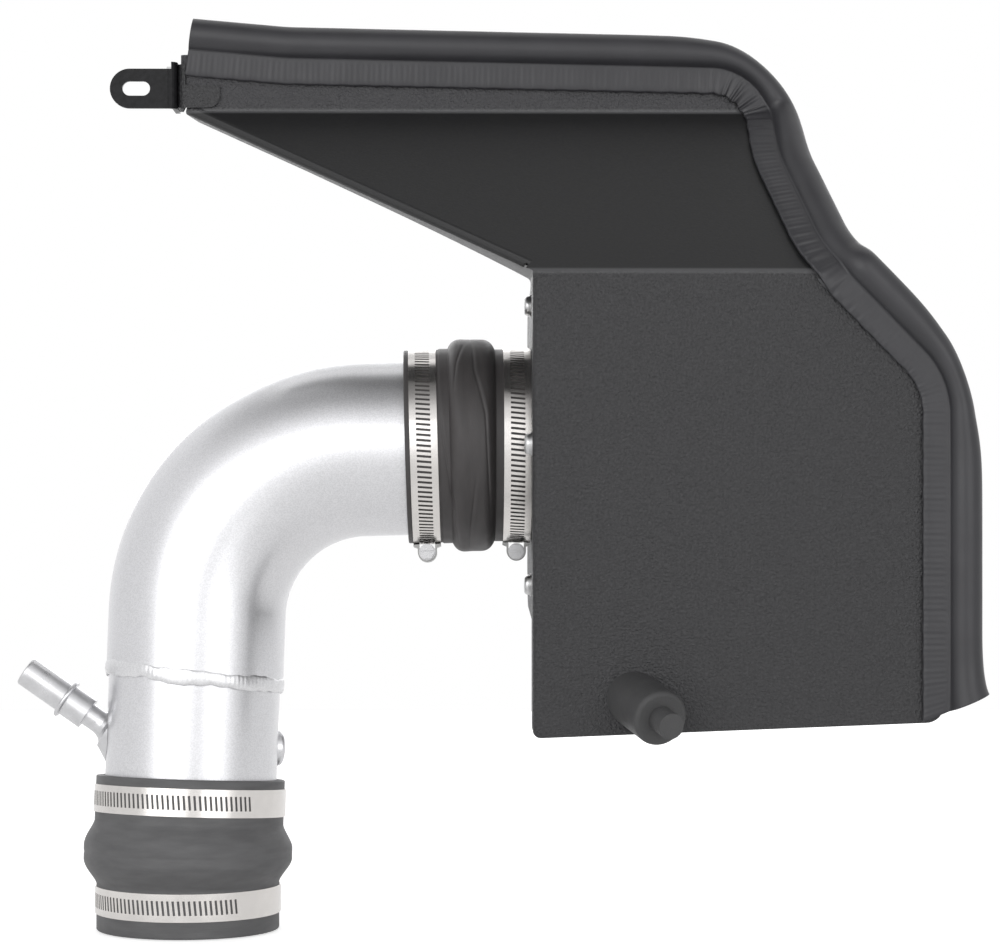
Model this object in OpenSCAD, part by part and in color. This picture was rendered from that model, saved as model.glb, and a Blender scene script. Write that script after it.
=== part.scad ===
/* [Metal tube] */
// Outside diameter of the bent tube
elbow_od = 92; // [91.5:0.1:94]
// Wall of the bent tube
elbow_wall = 1.5; // [1.2:0.1:1.6]
// Centreline radius of the bend
bend_radius = 88.9; // [80:0.1:100]
// Turning angle of the bend
bend_angle = 86.5; // [80:0.5:90]
// Height at which the bend starts, along the tube from the engine end
bend_start = 163.5; // [150:0.5:180]
// Straight tube after the bend, up to the end inside the filter coupler
elbow_tail = 45; // [40:0.5:50]
// Outside diameter of the lower tube
tube_od = 88.9; // [87:0.1:89]
// Wall of the lower tube
tube_wall = 1.65; // [1.2:0.05:3]
// Where the lower tube ends inside the engine coupler
tube_bottom = 50; // [46:0.5:55]
// Where the lower tube ends inside the bent tube
tube_top = 146; // [140:0.5:155]
// Height of the joint between the two tubes
joint_height = 130; // [122:0.5:136]
// Slant of the joint
joint_slant = 3.6; // [0:0.1:5]
// Radius of the weld bead round the joint
bead_r = 1.9; // [1:0.1:3]
// Width of the weld bead along the tube
bead_w = 6; // [3:0.1:8]

/* [Vent nipple] */
// Diameter of the end that takes the vent hose
vent_od = 15.9; // [12:0.1:18]
// Bore of the nipple
vent_bore = 9.4; // [6:0.1:10]
// Length from the free end to the hose bead
vent_reach = 26; // [18:0.1:35]
// Diameter of the hose bead
vent_bead_od = 21.4; // [18:0.1:24]
// Width of the hose bead
vent_bead_w = 2.4; // [1.5:0.1:4]
// Diameter of the collar behind the bead
vent_collar_od = 17.2; // [14:0.1:18]
// Length from the free end to the step behind the collar
vent_collar_end = 39.6; // [33:0.1:44]
// Diameter of the neck that is welded to the tube
vent_neck_od = 12.2; // [11:0.1:13.5]
// Length from the free end to the tube wall
vent_length = 53; // [48:0.1:58]
// Height of its weld above the end of the engine coupler
vent_above = 24.4; // [19:0.1:28]
// Rise of the nipple above level
vent_rise = 33; // [20:1:40]
// Reach of the weld fillet along the neck
vent_fillet = 6.5; // [3:0.1:8]

/* [Sensor bung] */
// Diameter of the bung
bung_od = 19; // [16:0.1:22]
// How far the bung stands out of the tube
bung_rise = 3.6; // [2:0.1:6]
// Height of the bung above the engine end
bung_height = 94.4; // [90:0.1:105]
// Direction of the bung round the tube, from the right towards the back
bung_turn = 18; // [0:1:60]
// Diameter of the plug in the bung
plug_od = 11; // [8:0.1:13]
// Key size of the socket in the plug
plug_key = 5; // [3:0.1:6]

/* [Rubber couplers] */
// Wall of both couplers
hose_wall = 4.3; // [3:0.1:5]
// Length of the engine coupler
engine_hose_len = 78; // [74:0.5:90]
// Height of the hump of the engine coupler
engine_hump_z = 39.5; // [36:0.5:46]
// How far the hump of the engine coupler stands out
engine_hump_h = 5.05; // [3:0.05:8]
// Width of the hump of the engine coupler
engine_hump_w = 31; // [26:0.5:34]
// Bore of the engine coupler at its open end
engine_bore = 86; // [80:0.1:88]
// Distance from the hump of the filter coupler to its free end on the tube
filter_hose_near = 34.5; // [32:0.5:40]
// Distance from the hump of the filter coupler to its end at the shield
filter_hose_far = 30.6; // [29:0.1:32]
// How far the hump of the filter coupler stands out
filter_hump_h = 4.95; // [3:0.05:8]
// Width of the hump of the filter coupler
filter_hump_w = 23; // [18:0.5:26]
// Gap between each coupler and the tube that it grips
grip_gap = 0.1; // [0.05:0.01:0.3]
// Distance from the end of the bent tube to the hump of the filter coupler
tube_gap = 12; // [8:0.5:16]

/* [Flex of the couplers] */
// Lean of the tube towards the shield
tube_lean = 1.9; // [0:0.1:3]
// Lean of the tube away from the viewer
tube_pitch = 3.5; // [0:0.1:4]
// Turn of the tube round the engine end
tube_yaw = -0.5; // [-3:0.1:3]

/* [Hose clamps] */
// Width of a clamp band
band_w = 14.2; // [12:0.1:15]
// Thickness of a clamp band
band_t = 0.7; // [0.6:0.05:1]
// Gap between a clamp band and its coupler
band_gap = 0.1; // [0.05:0.01:0.2]
// Height of the middle of the lower clamp on the engine coupler
engine_clamp_z = 16; // [10:0.1:18]
// Height of the middle of the upper clamp on the engine coupler
lower_tube_clamp_z = 66.4; // [64:0.1:69]
// Distance from the hump to the middle of the clamp on the tube
elbow_clamp_x = 24.9; // [20:0.1:27]
// Distance from the hump to the middle of the clamp at the shield
adapter_clamp_x = 23; // [20:0.1:24]
// Length of a worm slot across the band
slot_len = 7.4; // [5:0.1:9]
// Width of a worm slot
slot_w = 1.2; // [0.6:0.1:1.4]
// Spacing of the worm slots round the band
slot_pitch = 2.7; // [2:0.1:4]
// Lean of the worm slots
slot_lean = 6; // [0:1:12]
// Part of the band that is slotted
slot_arc = 185; // [90:5:200]
// Diameter of the worm screw
worm_od = 7.8; // [6.5:0.1:10]
// Key size of the hexagon head of the worm screw
worm_key = 7; // [6:0.1:8]
// Length of a clamp housing along its screw
housing_len = 13; // [11:0.1:16]
// Wall of a clamp housing
housing_wall = 0.9; // [0.7:0.05:1.2]

/* [Heat shield] */
// Thickness of the shield sheet
sheet_t = 1.6; // [1.2:0.1:2]
// Inside radius of the folds
fold_r = 1.5; // [1:0.1:2.5]
// Distance from the tube axis forward to the face of the front panel
panel_front = 85; // [84:0.5:95]
// Depth from the front panel back to the top panel
panel_setback = 80; // [70:0.5:95]
// Height of the upper fold of the front panel above the tube axis
fold_low = 86.4; // [84:0.1:95]
// Height of the fold under the top panel above the tube axis
fold_high = 174.4; // [165:0.1:180]
// Left end of the shield, measured from its side plate
shield_left = 181.5; // [170:0.5:190]
// Right edge of the shield, measured from its side plate
shield_right = 208; // [195:0.1:215]
// Depth of the front panel below the tube axis at its left edge
bottom_left = 146.9; // [140:0.1:155]
// Depth of the front panel below the tube axis at its right edge
bottom_right = 139; // [135:0.1:145]
// Height of the top edge above the tube axis at its right end
top_right = 196.4; // [194:0.1:200]
// Height of the top edge above the tube axis at its left end
top_left = 206; // [202:0.1:208]
// Width of the flange that is folded back along the left edges
flange_w = 22; // [16:0.5:26]
// Corner radius of the flat outlines
corner_r = 4; // [2:0.5:8]

/* [Side plate] */
// Distance from the tube axis to the back edge of the side plate
plate_back = 84; // [82:0.5:95]
// Depth of the side plate below the tube axis at its back edge
plate_drop = 86; // [82:0.5:100]
// Depth of the side plate below the tube axis at its front edge
plate_drop_front = 95; // [88:0.5:110]
// Corner radius at the foot of the side plate
plate_corner = 20; // [10:0.5:25]
// Depth of the arm that runs up under the sloping panel
arm_depth = 30; // [24:0.5:40]
// Diameter of the opening for the filter adapter
plate_hole = 95; // [94:0.1:98]

/* [Edge trim] */
// Diameter of the hollow bulb
bulb_od = 17.4; // [14:0.1:20]
// Wall of the hollow bulb
bulb_wall = 2.2; // [1.5:0.1:3]
// Depth of the grip that holds the sheet edge
grip_depth = 13.6; // [10:0.1:16]
// Thickness over the grip
grip_t = 7.2; // [6:0.1:9]
// Side gap between the grip and the sheet
trim_gap = 0.25; // [0.1:0.05:0.5]

/* [Mounting bracket] */
// Height of the bracket arm
bracket_h = 20.6; // [16:0.1:24]
// Thickness of the bracket
bracket_t = 2.5; // [2:0.1:4]
// Length of the arm from the shield to the middle of its round end
bracket_reach = 24.5; // [20:0.5:36]
// Height of the bracket slot
bracket_slot_h = 7.5; // [6:0.1:9]
// Distance between the end centres of the bracket slot
bracket_slot_pitch = 6.8; // [4:0.1:10]
// Height of the bracket above the tube axis
bracket_z = 185.5; // [183:0.5:188]
// Depth of the bracket foot along the shield
bracket_foot = 26; // [22:0.5:30]

/* [Filter adapter] */
// Outside diameter of the two stubs of the adapter
stub_od = 91.6; // [89:0.1:92]
// Bore of the adapter
adapter_bore = 82; // [76:0.5:84]
// Reach of the outer stub from the side plate
stub_out = 28; // [24:0.5:29]
// Reach of the inner stub behind the flange
stub_in = 26; // [22:0.5:30]
// Diameter of the adapter flange
adapter_flange_od = 162; // [158:0.5:164]
// Thickness of the adapter flange
adapter_flange_t = 6; // [4:0.5:8]
// Diameter of the circle of the adapter screws
screw_circle = 146; // [140:0.5:148]
// Number of adapter screws
screw_count = 4; // [4:4:8]
// Diameter of the adapter screws
screw_d = 6; // [5:0.1:6]

/* [Air filter] */
// Diameter of the rubber base of the filter
filter_base_od = 150; // [144:0.5:156]
// Thickness of the rubber base
filter_base_t = 22; // [18:0.5:28]
// Length of the neck that takes the filter clamp
filter_neck = 18; // [16:0.5:20]
// Diameter of the pleats at the base
media_base_od = 138; // [130:0.5:142]
// Diameter of the pleats at the cap
media_cap_od = 106; // [96:0.5:116]
// Length of the pleats between base and cap
media_len = 102; // [80:0.5:110]
// Number of pleats
pleats = 54; // [36:1:64]
// Depth of the pleats
pleat_depth = 9; // [6:0.5:12]
// Diameter of the filter cap
cap_od = 116; // [106:0.5:124]
// Thickness of the filter cap
cap_t = 20; // [14:0.5:24]

/* [Locating peg] */
// Diameter of the rubber peg
peg_od = 28; // [22:0.5:32]
// Length of the rubber peg
peg_len = 30; // [24:0.5:36]
// Diameter of the peg tip
peg_tip_od = 13.2; // [10:0.1:16]
// Length of the peg tip
peg_tip_len = 12; // [4:0.5:14]
// Lean of the rubber peg
peg_lean = 25; // [0:1:45]
// Direction of the lean, from the right of the front panel upwards
peg_way = -35; // [-90:5:90]
// Distance of the peg from the side plate
peg_x = 52; // [42:0.5:64]
// Depth of the peg below the tube axis
peg_drop = 128; // [115:0.5:128]
// Diameter of the peg stud
peg_stud_d = 6; // [5:0.1:8]

/* [Hidden] */
$fn = 96;
bend_lap = 0.2;
bend_step = 0.1;
over = 1;
vent_height = engine_hose_len + vent_above;
engine_hump_od = tube_od + 2 * (grip_gap + hose_wall + engine_hump_h);
filter_hump_od = elbow_od + 2 * (grip_gap + hose_wall + filter_hump_h);

// Vector helpers
function unit(v) = v / norm(v);
function left_of(v) = [-v[1], v[0]];
function turn_between(a, b) = atan2(a[0] * b[1] - a[1] * b[0], a * b);
function spin(v, a) = [v[0] * cos(a) - v[1] * sin(a), v[0] * sin(a) + v[1] * cos(a)];

// Steps of an arc in the folds and in the rounded outlines
fold_steps = 6;
corner_steps = 8;

// One rounded corner at p, between neighbours a and b, with radius r
function corner(a, p, b, r, steps) =
    let(d1 = unit(p - a), d2 = unit(b - p), w = turn_between(d1, d2),
        s = w > 0 ? 1 : -1, back = r * tan(abs(w) / 2),
        c = p - d1 * back + left_of(d1) * r * s)
    [for (k = [0:steps]) c - spin(left_of(d1) * s, w * k / steps) * r];

// A path whose inner points are rounded, open at both ends
function round_path(pts, radii, steps) =
    [for (i = [0:len(pts) - 1])
        each (i == 0 || i == len(pts) - 1 || radii[i] == 0) ? [pts[i]]
            : corner(pts[i - 1], pts[i], pts[i + 1], radii[i], steps)];

// Direction and shifted copy of an open path
function path_dir(pts, i) = unit(pts[min(i + 1, len(pts) - 1)] - pts[max(i - 1, 0)]);
function shift_path(pts, d) = [for (i = [0:len(pts) - 1]) pts[i] + left_of(path_dir(pts, i)) * d];

// Section of a folded sheet: the given line is its outer face, and the sheet lies to the left
function sheet_side(pts, t, r, depth) =
    [for (i = [0:len(pts) - 1])
        each (i == 0) ? [pts[0] + left_of(unit(pts[1] - pts[0])) * depth]
            : (i == len(pts) - 1) ? [pts[i] + left_of(unit(pts[i] - pts[i - 1])) * depth]
            : let(d1 = unit(pts[i] - pts[i - 1]), d2 = unit(pts[i + 1] - pts[i]),
                w = turn_between(d1, d2), c = w > 0 ? r + t : -r,
                mid = pts[i] - d1 * abs(c) * tan(abs(w) / 2) + left_of(d1) * c)
            [for (k = [0:fold_steps]) mid - spin(left_of(d1), w * k / fold_steps) * (c - depth)]];
function reversed(v) = [for (i = [len(v) - 1:-1:0]) v[i]];
function sheet_section(pts, t, r) = concat(sheet_side(pts, t, r, 0), reversed(sheet_side(pts, t, r, t)));

// Frames: the tube tilts about the hump of the engine coupler
tube_turn = [-tube_pitch, tube_lean, tube_yaw];
module on_tube() {
    translate([0, 0, engine_hump_z]) rotate(tube_turn) translate([0, 0, -engine_hump_z]) children();
}
function turned(v) =
    let(a = [v[0], v[1] * cos(tube_pitch) + v[2] * sin(tube_pitch),
            -v[1] * sin(tube_pitch) + v[2] * cos(tube_pitch)],
        b = [a[0] * cos(tube_lean) + a[2] * sin(tube_lean), a[1],
            -a[0] * sin(tube_lean) + a[2] * cos(tube_lean)])
    [b[0] * cos(tube_yaw) - b[1] * sin(tube_yaw), b[0] * sin(tube_yaw) + b[1] * cos(tube_yaw), b[2]];

// End of the bend, and the leg that runs on from it
leg_start = [bend_radius * (1 - cos(bend_angle)), 0, bend_start + bend_radius * sin(bend_angle)];
leg_dir = [sin(bend_angle), 0, cos(bend_angle)];
leg_len = elbow_tail + tube_gap;
module on_leg() {
    on_tube() translate(leg_start) rotate([0, bend_angle, 0]) children();
}

// Middle of the filter coupler, where the tube axis meets the adapter axis
hub = [0, 0, engine_hump_z] + turned(leg_start + leg_dir * leg_len - [0, 0, engine_hump_z]);
module at_hub() {
    translate(hub) children();
}
// The same frame with Z along the adapter axis, towards the filter
module on_adapter() {
    at_hub() rotate([0, 90, 0]) children();
}

// Faces of the shield, measured from the hub: the side plate lies inside the folded flange
hose_gap = 0.4;
side_x = filter_hose_far + hose_gap - sheet_t;
plate_x = side_x + sheet_t;
inner_x = plate_x + sheet_t;
front_y = -panel_front;
top_y = front_y + panel_setback;
left_x = side_x - shield_left;
slope_len = norm([panel_setback, fold_high - fold_low]);
bulb_r = bulb_od / 2;
seam_out = 2.5;
trim_start = 3.5;

// A ring, and a ring with slots
module ring(r_in, r_out, h) {
    difference() {
        cylinder(r = r_out, h = h);
        translate([0, 0, -over]) cylinder(r = r_in, h = h + 2 * over);
    }
}

/* Metal tube */
module intake_elbow() {
    color("#c9cbd0") on_tube() {
        difference() {
            elbow_solid(elbow_od / 2, 0);
            elbow_solid(elbow_od / 2 - elbow_wall, over);
            translate([0, 0, joint_height]) rotate([0, joint_slant, 0])
                translate([-elbow_od, -elbow_od, -elbow_od]) cube([2 * elbow_od, 2 * elbow_od, elbow_od]);
        }
        weld_bead();
    }
}
// Solid bar along the bent tube, longer at both ends by the given amount; the straight parts
// run a little way into the bend and are a touch wider, so that they join cleanly
module elbow_solid(r, longer) {
    foot = joint_height - elbow_od / 2 - longer;
    translate([0, 0, foot]) cylinder(r = r, h = bend_start - foot + bend_lap);
    translate([bend_radius, 0, bend_start]) rotate([90, 0, 0]) rotate([0, 0, 180 - bend_angle])
        rotate_extrude(angle = bend_angle) translate([bend_radius, 0]) circle(r = r - bend_step);
    translate(leg_start) rotate([0, bend_angle, 0]) translate([0, 0, -bend_lap])
        cylinder(r = r, h = elbow_tail + longer + bend_lap);
}
// The bead leans with the joint and stays clear of the lower tube
module weld_bead() {
    bead_in = elbow_od / 2 - elbow_wall + grip_gap;
    translate([0, 0, joint_height]) rotate([0, joint_slant, 0]) rotate_extrude()
        intersection() {
            translate([elbow_od / 2 - elbow_wall / 2, 0]) scale([1, bead_w / 2 / bead_r])
                circle(r = bead_r, $fn = 24);
            translate([bead_in, -bead_w]) square([2 * bead_r, 2 * bead_w]);
        }
}
module lower_tube() {
    color("#c9cbd0") on_tube() difference() {
        translate([0, 0, tube_bottom]) ring(tube_od / 2 - tube_wall, tube_od / 2, tube_top - tube_bottom);
        vent_frame() translate([0, 0, -over]) cylinder(r = vent_neck_od / 2 + grip_gap, h = vent_length);
        bung_frame() translate([0, 0, -elbow_od / 4]) cylinder(r = bung_od / 2 + grip_gap, h = elbow_od / 2);
    }
}

/* Vent nipple: Z runs from the tube wall to the free end */
module vent_frame() {
    translate([-tube_od / 2, 0, vent_height]) rotate([0, -90 + vent_rise, 0]) translate([0, 0, -over])
        children();
}
module vent_nipple() {
    bead_z = vent_length - vent_reach;
    collar_z = vent_length - vent_collar_end;
    round_r = 1.2;
    color("#d4d5d8") on_tube() difference() {
        union() {
            vent_frame() rotate_extrude() polygon(concat(
                [[0, -tube_wall], [vent_neck_od / 2, -tube_wall], [vent_neck_od / 2, collar_z],
                 [vent_collar_od / 2, collar_z], [vent_collar_od / 2, bead_z - vent_bead_w / 2]],
                [for (k = [0:corner_steps]) let(a = -90 + 180 * k / corner_steps)
                    [vent_bead_od / 2 - vent_bead_w / 2 + cos(a) * vent_bead_w / 2,
                     bead_z + sin(a) * vent_bead_w / 2]],
                [[vent_od / 2, bead_z + vent_bead_w / 2], [vent_od / 2, vent_length - round_r]],
                [for (k = [1:4]) let(a = 90 * k / 4)
                    [vent_od / 2 - round_r + cos(a) * round_r, vent_length - round_r + sin(a) * round_r]],
                [[0, vent_length]]));
            vent_weld();
        }
        vent_frame() translate([0, 0, -vent_length]) cylinder(r = vent_bore / 2, h = 3 * vent_length);
        translate([0, 0, tube_bottom]) cylinder(r = tube_od / 2 - tube_wall, h = tube_top - tube_bottom);
    }
}
// Weld fillet round the foot of the nipple, laid on the outside of the tube
module vent_weld() {
    flare = 4.5;
    steps = 4;
    difference() {
        vent_frame() rotate_extrude() polygon(concat(
            [[0, -2 * flare], [vent_neck_od / 2 + 2 * flare, -2 * flare]],
            [for (k = [0:steps]) let(a = 90 * k / steps)
                [vent_neck_od / 2 + flare * (1 - sin(a)), vent_fillet * (1 - cos(a))]],
            [[0, vent_fillet]]));
        translate([0, 0, tube_bottom])
            cylinder(r = tube_od / 2 + grip_gap, h = tube_top - tube_bottom);
    }
}

/* Sensor bung: Z points out of the tube */
module bung_frame() {
    translate([0, 0, bung_height]) rotate([0, 0, bung_turn]) rotate([0, 90, 0])
        translate([0, 0, tube_od / 2]) children();
}
module sensor_bung() {
    sink = 3;
    round_r = 2.4;
    color("#b9bbbf") on_tube() bung_frame() difference() {
        rotate_extrude() polygon(concat(
            [[0, -sink], [bung_od / 2, -sink]],
            [for (k = [0:corner_steps]) let(a = 90 * k / corner_steps)
                [bung_od / 2 - round_r + cos(a) * round_r, bung_rise - round_r + sin(a) * round_r]],
            [[0, bung_rise]]));
        translate([0, 0, -2 * sink]) cylinder(r = plug_od / 2 + grip_gap, h = 4 * sink);
    }
}
module bung_plug() {
    plug_len = 5;
    socket_depth = 3;
    inset = 0.4;
    color("#8f9196") on_tube() bung_frame() translate([0, 0, bung_rise - inset - plug_len]) difference() {
        cylinder(r = plug_od / 2, h = plug_len);
        translate([0, 0, plug_len - socket_depth])
            cylinder(r = plug_key / sqrt(3), h = socket_depth + over, $fn = 6);
    }
}

/* Rubber couplers: one half, from the edge of its crest to its free end */
hump_steps = 10;
crest_flat = 1.2;
crest_bend_gap = 5;
function crest_radius(hump_od) = hump_od / 2 + crest_bend_gap;
function crest_run(hump_od, v) = crest_radius(hump_od) * tan(acos(v[2]) / 2);
// How full each hump is: 1 at the crest, 0 at its foot, where t is 1
engine_hump_shape = [1.7, 1.6];
filter_hump_shape = [3, 0.85];
function hump_share(t, shape) = pow(1 - pow(t, shape[0]), shape[1]);
module coupler_half(bore, hump_od, hump_w, shape, crest, reach) {
    bore_r = bore / 2;
    lip = 0.8;
    rise = hump_od / 2 - bore_r - hose_wall;
    from = crest + crest_flat;
    inner = [for (k = [0:hump_steps]) let(t = sin(90 * k / hump_steps))
        [bore_r + rise * hump_share(t, shape), from + (hump_w / 2 - from) * t]];
    outer = [for (p = inner) p + [hose_wall, 0]];
    rotate_extrude() polygon(concat(
        [[bore_r + rise + hose_wall, crest], each outer],
        [[bore_r + hose_wall, reach - lip], [bore_r + hose_wall - lip, reach], [bore_r, reach]],
        reversed(inner), [[bore_r + rise, crest]]));
}
// The crest of a hump bends from the Z axis to the direction v, a little inside both halves
module coupler_crest(hump_od, v) {
    step = 0.15;
    lean = acos(v[2]);
    extra = crest_flat / 2 / crest_radius(hump_od) * 180 / PI;
    translate([0, 0, -crest_run(hump_od, v)]) rotate([0, 0, atan2(v[1], v[0])])
        translate([crest_radius(hump_od), 0, 0]) rotate([90, 0, 0]) rotate([0, 0, 180 - lean - extra])
            rotate_extrude(angle = lean + 2 * extra) translate([crest_radius(hump_od), 0]) difference() {
                circle(r = hump_od / 2 - step);
                circle(r = hump_od / 2 - hose_wall + step);
            }
}
module engine_coupler() {
    crest = crest_run(engine_hump_od, turned([0, 0, 1]));
    color("#57585b") {
        translate([0, 0, engine_hump_z]) mirror([0, 0, 1])
            coupler_half(engine_bore, engine_hump_od, engine_hump_w, engine_hump_shape, crest, engine_hump_z);
        translate([0, 0, engine_hump_z]) coupler_crest(engine_hump_od, turned([0, 0, 1]));
        on_tube() translate([0, 0, engine_hump_z])
            coupler_half(tube_od + 2 * grip_gap, engine_hump_od, engine_hump_w, engine_hump_shape, crest,
                engine_hose_len - engine_hump_z);
    }
}
module filter_coupler() {
    leg = turned(leg_dir);
    seen = [leg[2], -leg[1], leg[0]];
    crest = crest_run(filter_hump_od, seen);
    color("#4a4646") {
        on_leg() translate([0, 0, leg_len]) mirror([0, 0, 1])
            coupler_half(elbow_od + 2 * grip_gap, filter_hump_od, filter_hump_w, filter_hump_shape, crest,
                filter_hose_near);
        on_adapter() mirror([0, 0, 1]) coupler_crest(filter_hump_od, seen);
        on_adapter()
            coupler_half(stub_od + 2 * grip_gap, filter_hump_od, filter_hump_w, filter_hump_shape, crest,
                filter_hose_far);
    }
}

/* Worm drive clamps: Z along the hose, middle of the band at Z = 0, housing towards -Y */
engine_band_r = engine_bore / 2 + hose_wall + band_gap;
lower_tube_band_r = tube_od / 2 + grip_gap + hose_wall + band_gap;
elbow_band_r = elbow_od / 2 + grip_gap + hose_wall + band_gap;
adapter_band_r = stub_od / 2 + grip_gap + hose_wall + band_gap;
filter_band_r = stub_od / 2 + grip_gap + hose_wall + band_gap;
worm_gap = 0.2;
// Angle of the first slot, just past the housing
slot_first = -80;
module clamp_band(r) {
    step = slot_pitch / r * 180 / PI;
    slots = floor(slot_arc / step);
    color("#cfcac3") difference() {
        translate([0, 0, -band_w / 2]) ring(r, r + band_t, band_w);
        for (i = [0:slots - 1])
            rotate([0, 0, slot_first + i * step]) translate([r - over, 0, 0]) rotate([slot_lean, 0, 0])
                translate([0, -slot_w / 2, -slot_len / 2]) cube([band_t + 2 * over, slot_w, slot_len]);
    }
}
// The housing arches over the screw, and its feet rest on the band
module clamp_housing(r) {
    seat = r + band_t + worm_gap;
    screw_z = seat + worm_od / 2 + worm_gap;
    arch_r = worm_od / 2 + worm_gap + housing_wall;
    foot_w = band_w / 2 + band_gap;
    color("#c4c4c4") translate([housing_len / 2, 0, 0]) rotate([90, 0, -90]) linear_extrude(housing_len)
        difference() {
            polygon(concat(
                [[seat, -foot_w], [seat + housing_wall, -foot_w], [seat + 2 * housing_wall, -arch_r]],
                [for (k = [0:2 * corner_steps]) let(a = -90 + 90 * k / corner_steps)
                    [screw_z + arch_r * cos(a), arch_r * sin(a)]],
                [[seat + 2 * housing_wall, arch_r], [seat + housing_wall, foot_w], [seat, foot_w]]));
            translate([screw_z, 0]) circle(r = worm_od / 2 + worm_gap, $fn = 48);
            translate([seat - over, -worm_od / 2 - worm_gap])
                square([screw_z - seat + over, worm_od + 2 * worm_gap]);
        }
}
module clamp_screw(r) {
    seat = r + band_t + worm_gap;
    head_h = 4.2;
    collar_h = 1;
    collar_rim = 0.4;
    tail_r = 2.8;
    slot = 1.2;
    color("#c9cacc") translate([0, -seat - worm_od / 2 - worm_gap, 0]) rotate([0, 90, 0]) {
        translate([0, 0, collar_h - housing_len / 2]) cylinder(r = worm_od / 2, h = housing_len - collar_h);
        translate([0, 0, collar_h - housing_len / 2]) mirror([0, 0, 1]) rotate_extrude() polygon(concat(
            [[0, -over], [tail_r, -over]],
            [for (k = [0:corner_steps]) let(a = 90 * k / corner_steps)
                [tail_r * (1 + cos(a)) / 2, collar_h + tail_r / 2 * sin(a)]],
            [[0, collar_h + tail_r / 2]]));
        translate([0, 0, housing_len / 2]) cylinder(r = worm_od / 2 + collar_rim, h = collar_h);
        difference() {
            translate([0, 0, housing_len / 2]) cylinder(r = worm_key / sqrt(3), h = head_h, $fn = 6);
            translate([-worm_od, -slot / 2, housing_len / 2 + head_h - slot])
                cube([2 * worm_od, slot, 2 * slot]);
        }
    }
}
// The housings of both engine coupler clamps lie behind
engine_clamp_turn = 205;
lower_tube_clamp_turn = 212;
module at_engine_clamp() {
    translate([0, 0, engine_clamp_z]) rotate([0, 0, engine_clamp_turn]) children();
}
module at_lower_tube_clamp() {
    on_tube() translate([0, 0, lower_tube_clamp_z]) rotate([0, 0, lower_tube_clamp_turn]) children();
}
module at_elbow_clamp() {
    on_leg() translate([0, 0, leg_len - elbow_clamp_x]) rotate([0, 0, 90]) mirror([1, 0, 0]) children();
}
module at_adapter_clamp() {
    on_adapter() translate([0, 0, adapter_clamp_x]) rotate([0, 0, 90]) mirror([1, 0, 0]) children();
}
module at_filter_clamp() {
    on_adapter() translate([0, 0, filter_neck_x + filter_neck / 2]) rotate([0, 0, -90]) children();
}
module engine_clamp_band() {
    at_engine_clamp() clamp_band(engine_band_r);
}
module engine_clamp_housing() {
    at_engine_clamp() clamp_housing(engine_band_r);
}
module engine_clamp_screw() {
    at_engine_clamp() clamp_screw(engine_band_r);
}
module lower_tube_clamp_band() {
    at_lower_tube_clamp() clamp_band(lower_tube_band_r);
}
module lower_tube_clamp_housing() {
    at_lower_tube_clamp() clamp_housing(lower_tube_band_r);
}
module lower_tube_clamp_screw() {
    at_lower_tube_clamp() clamp_screw(lower_tube_band_r);
}
module elbow_clamp_band() {
    at_elbow_clamp() clamp_band(elbow_band_r);
}
module elbow_clamp_housing() {
    at_elbow_clamp() clamp_housing(elbow_band_r);
}
module elbow_clamp_screw() {
    at_elbow_clamp() clamp_screw(elbow_band_r);
}
module adapter_clamp_band() {
    at_adapter_clamp() clamp_band(adapter_band_r);
}
module adapter_clamp_housing() {
    at_adapter_clamp() clamp_housing(adapter_band_r);
}
module adapter_clamp_screw() {
    at_adapter_clamp() clamp_screw(adapter_band_r);
}
module filter_clamp_band() {
    at_filter_clamp() clamp_band(filter_band_r);
}
module filter_clamp_housing() {
    at_filter_clamp() clamp_housing(filter_band_r);
}
module filter_clamp_screw() {
    at_filter_clamp() clamp_screw(filter_band_r);
}

/* Heat shield: outlines are seen from the front, measured from the hub */
// Line of the trimmed edge, from the left end of the top to the foot of the right edge
corner_x = side_x + 127;
right_x = side_x + shield_right;
shoulder = [corner_x - 2, top_right];
elbow_point = [right_x, fold_low - 53];
edge_line = round_path([
    [left_x + trim_start, top_left], [left_x + 55, top_left - 4.5], shoulder,
    [corner_x + 1, top_right - 49], [corner_x + 19, fold_low + 10], elbow_point, [right_x, -bottom_right]],
    [0, 150, 32, 60, 50, 45, 0], corner_steps);
// The sheet stops short of the seam between bulb and grip
sheet_edge = shift_path(edge_line, -seam_out);
foot_r = 9;
slant_from = [side_x, fold_low];
slant_to = [left_x, fold_high];
shield_outline = concat(
    round_path([[side_x, 0], [side_x, -bottom_left], sheet_edge[len(sheet_edge) - 1],
        sheet_edge[len(sheet_edge) - 2]], [0, corner_r, foot_r, 0], corner_steps),
    [for (i = [len(sheet_edge) - 3:-1:0]) sheet_edge[i]],
    [[left_x, top_left], slant_to, slant_from]);
// Section of the three panels, seen from the right: depth and height of the outer face
panel_section = sheet_section([[top_y, top_left + over], [top_y, fold_high],
    [front_y, fold_low], [front_y, -bottom_left - over]], sheet_t, fold_r);

// Frame of the sloping flange: X runs down the slanted edge, Y back, Z up out of the flange
slant_angle = atan2(fold_high - fold_low, shield_left);
slant_run = norm(slant_from - slant_to);
slant_turn = atan2(-panel_setback, slant_run);
slant_len = norm([slant_run, panel_setback]);
slope_normal = [0, fold_low - fold_high, panel_setback] / slope_len;
function in_slant(v) = let(a = [v[0] * cos(slant_angle) - v[2] * sin(slant_angle), v[1],
        v[0] * sin(slant_angle) + v[2] * cos(slant_angle)])
    [a[0] * cos(slant_turn) + a[1] * sin(slant_turn), -a[0] * sin(slant_turn) + a[1] * cos(slant_turn), a[2]];
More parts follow.
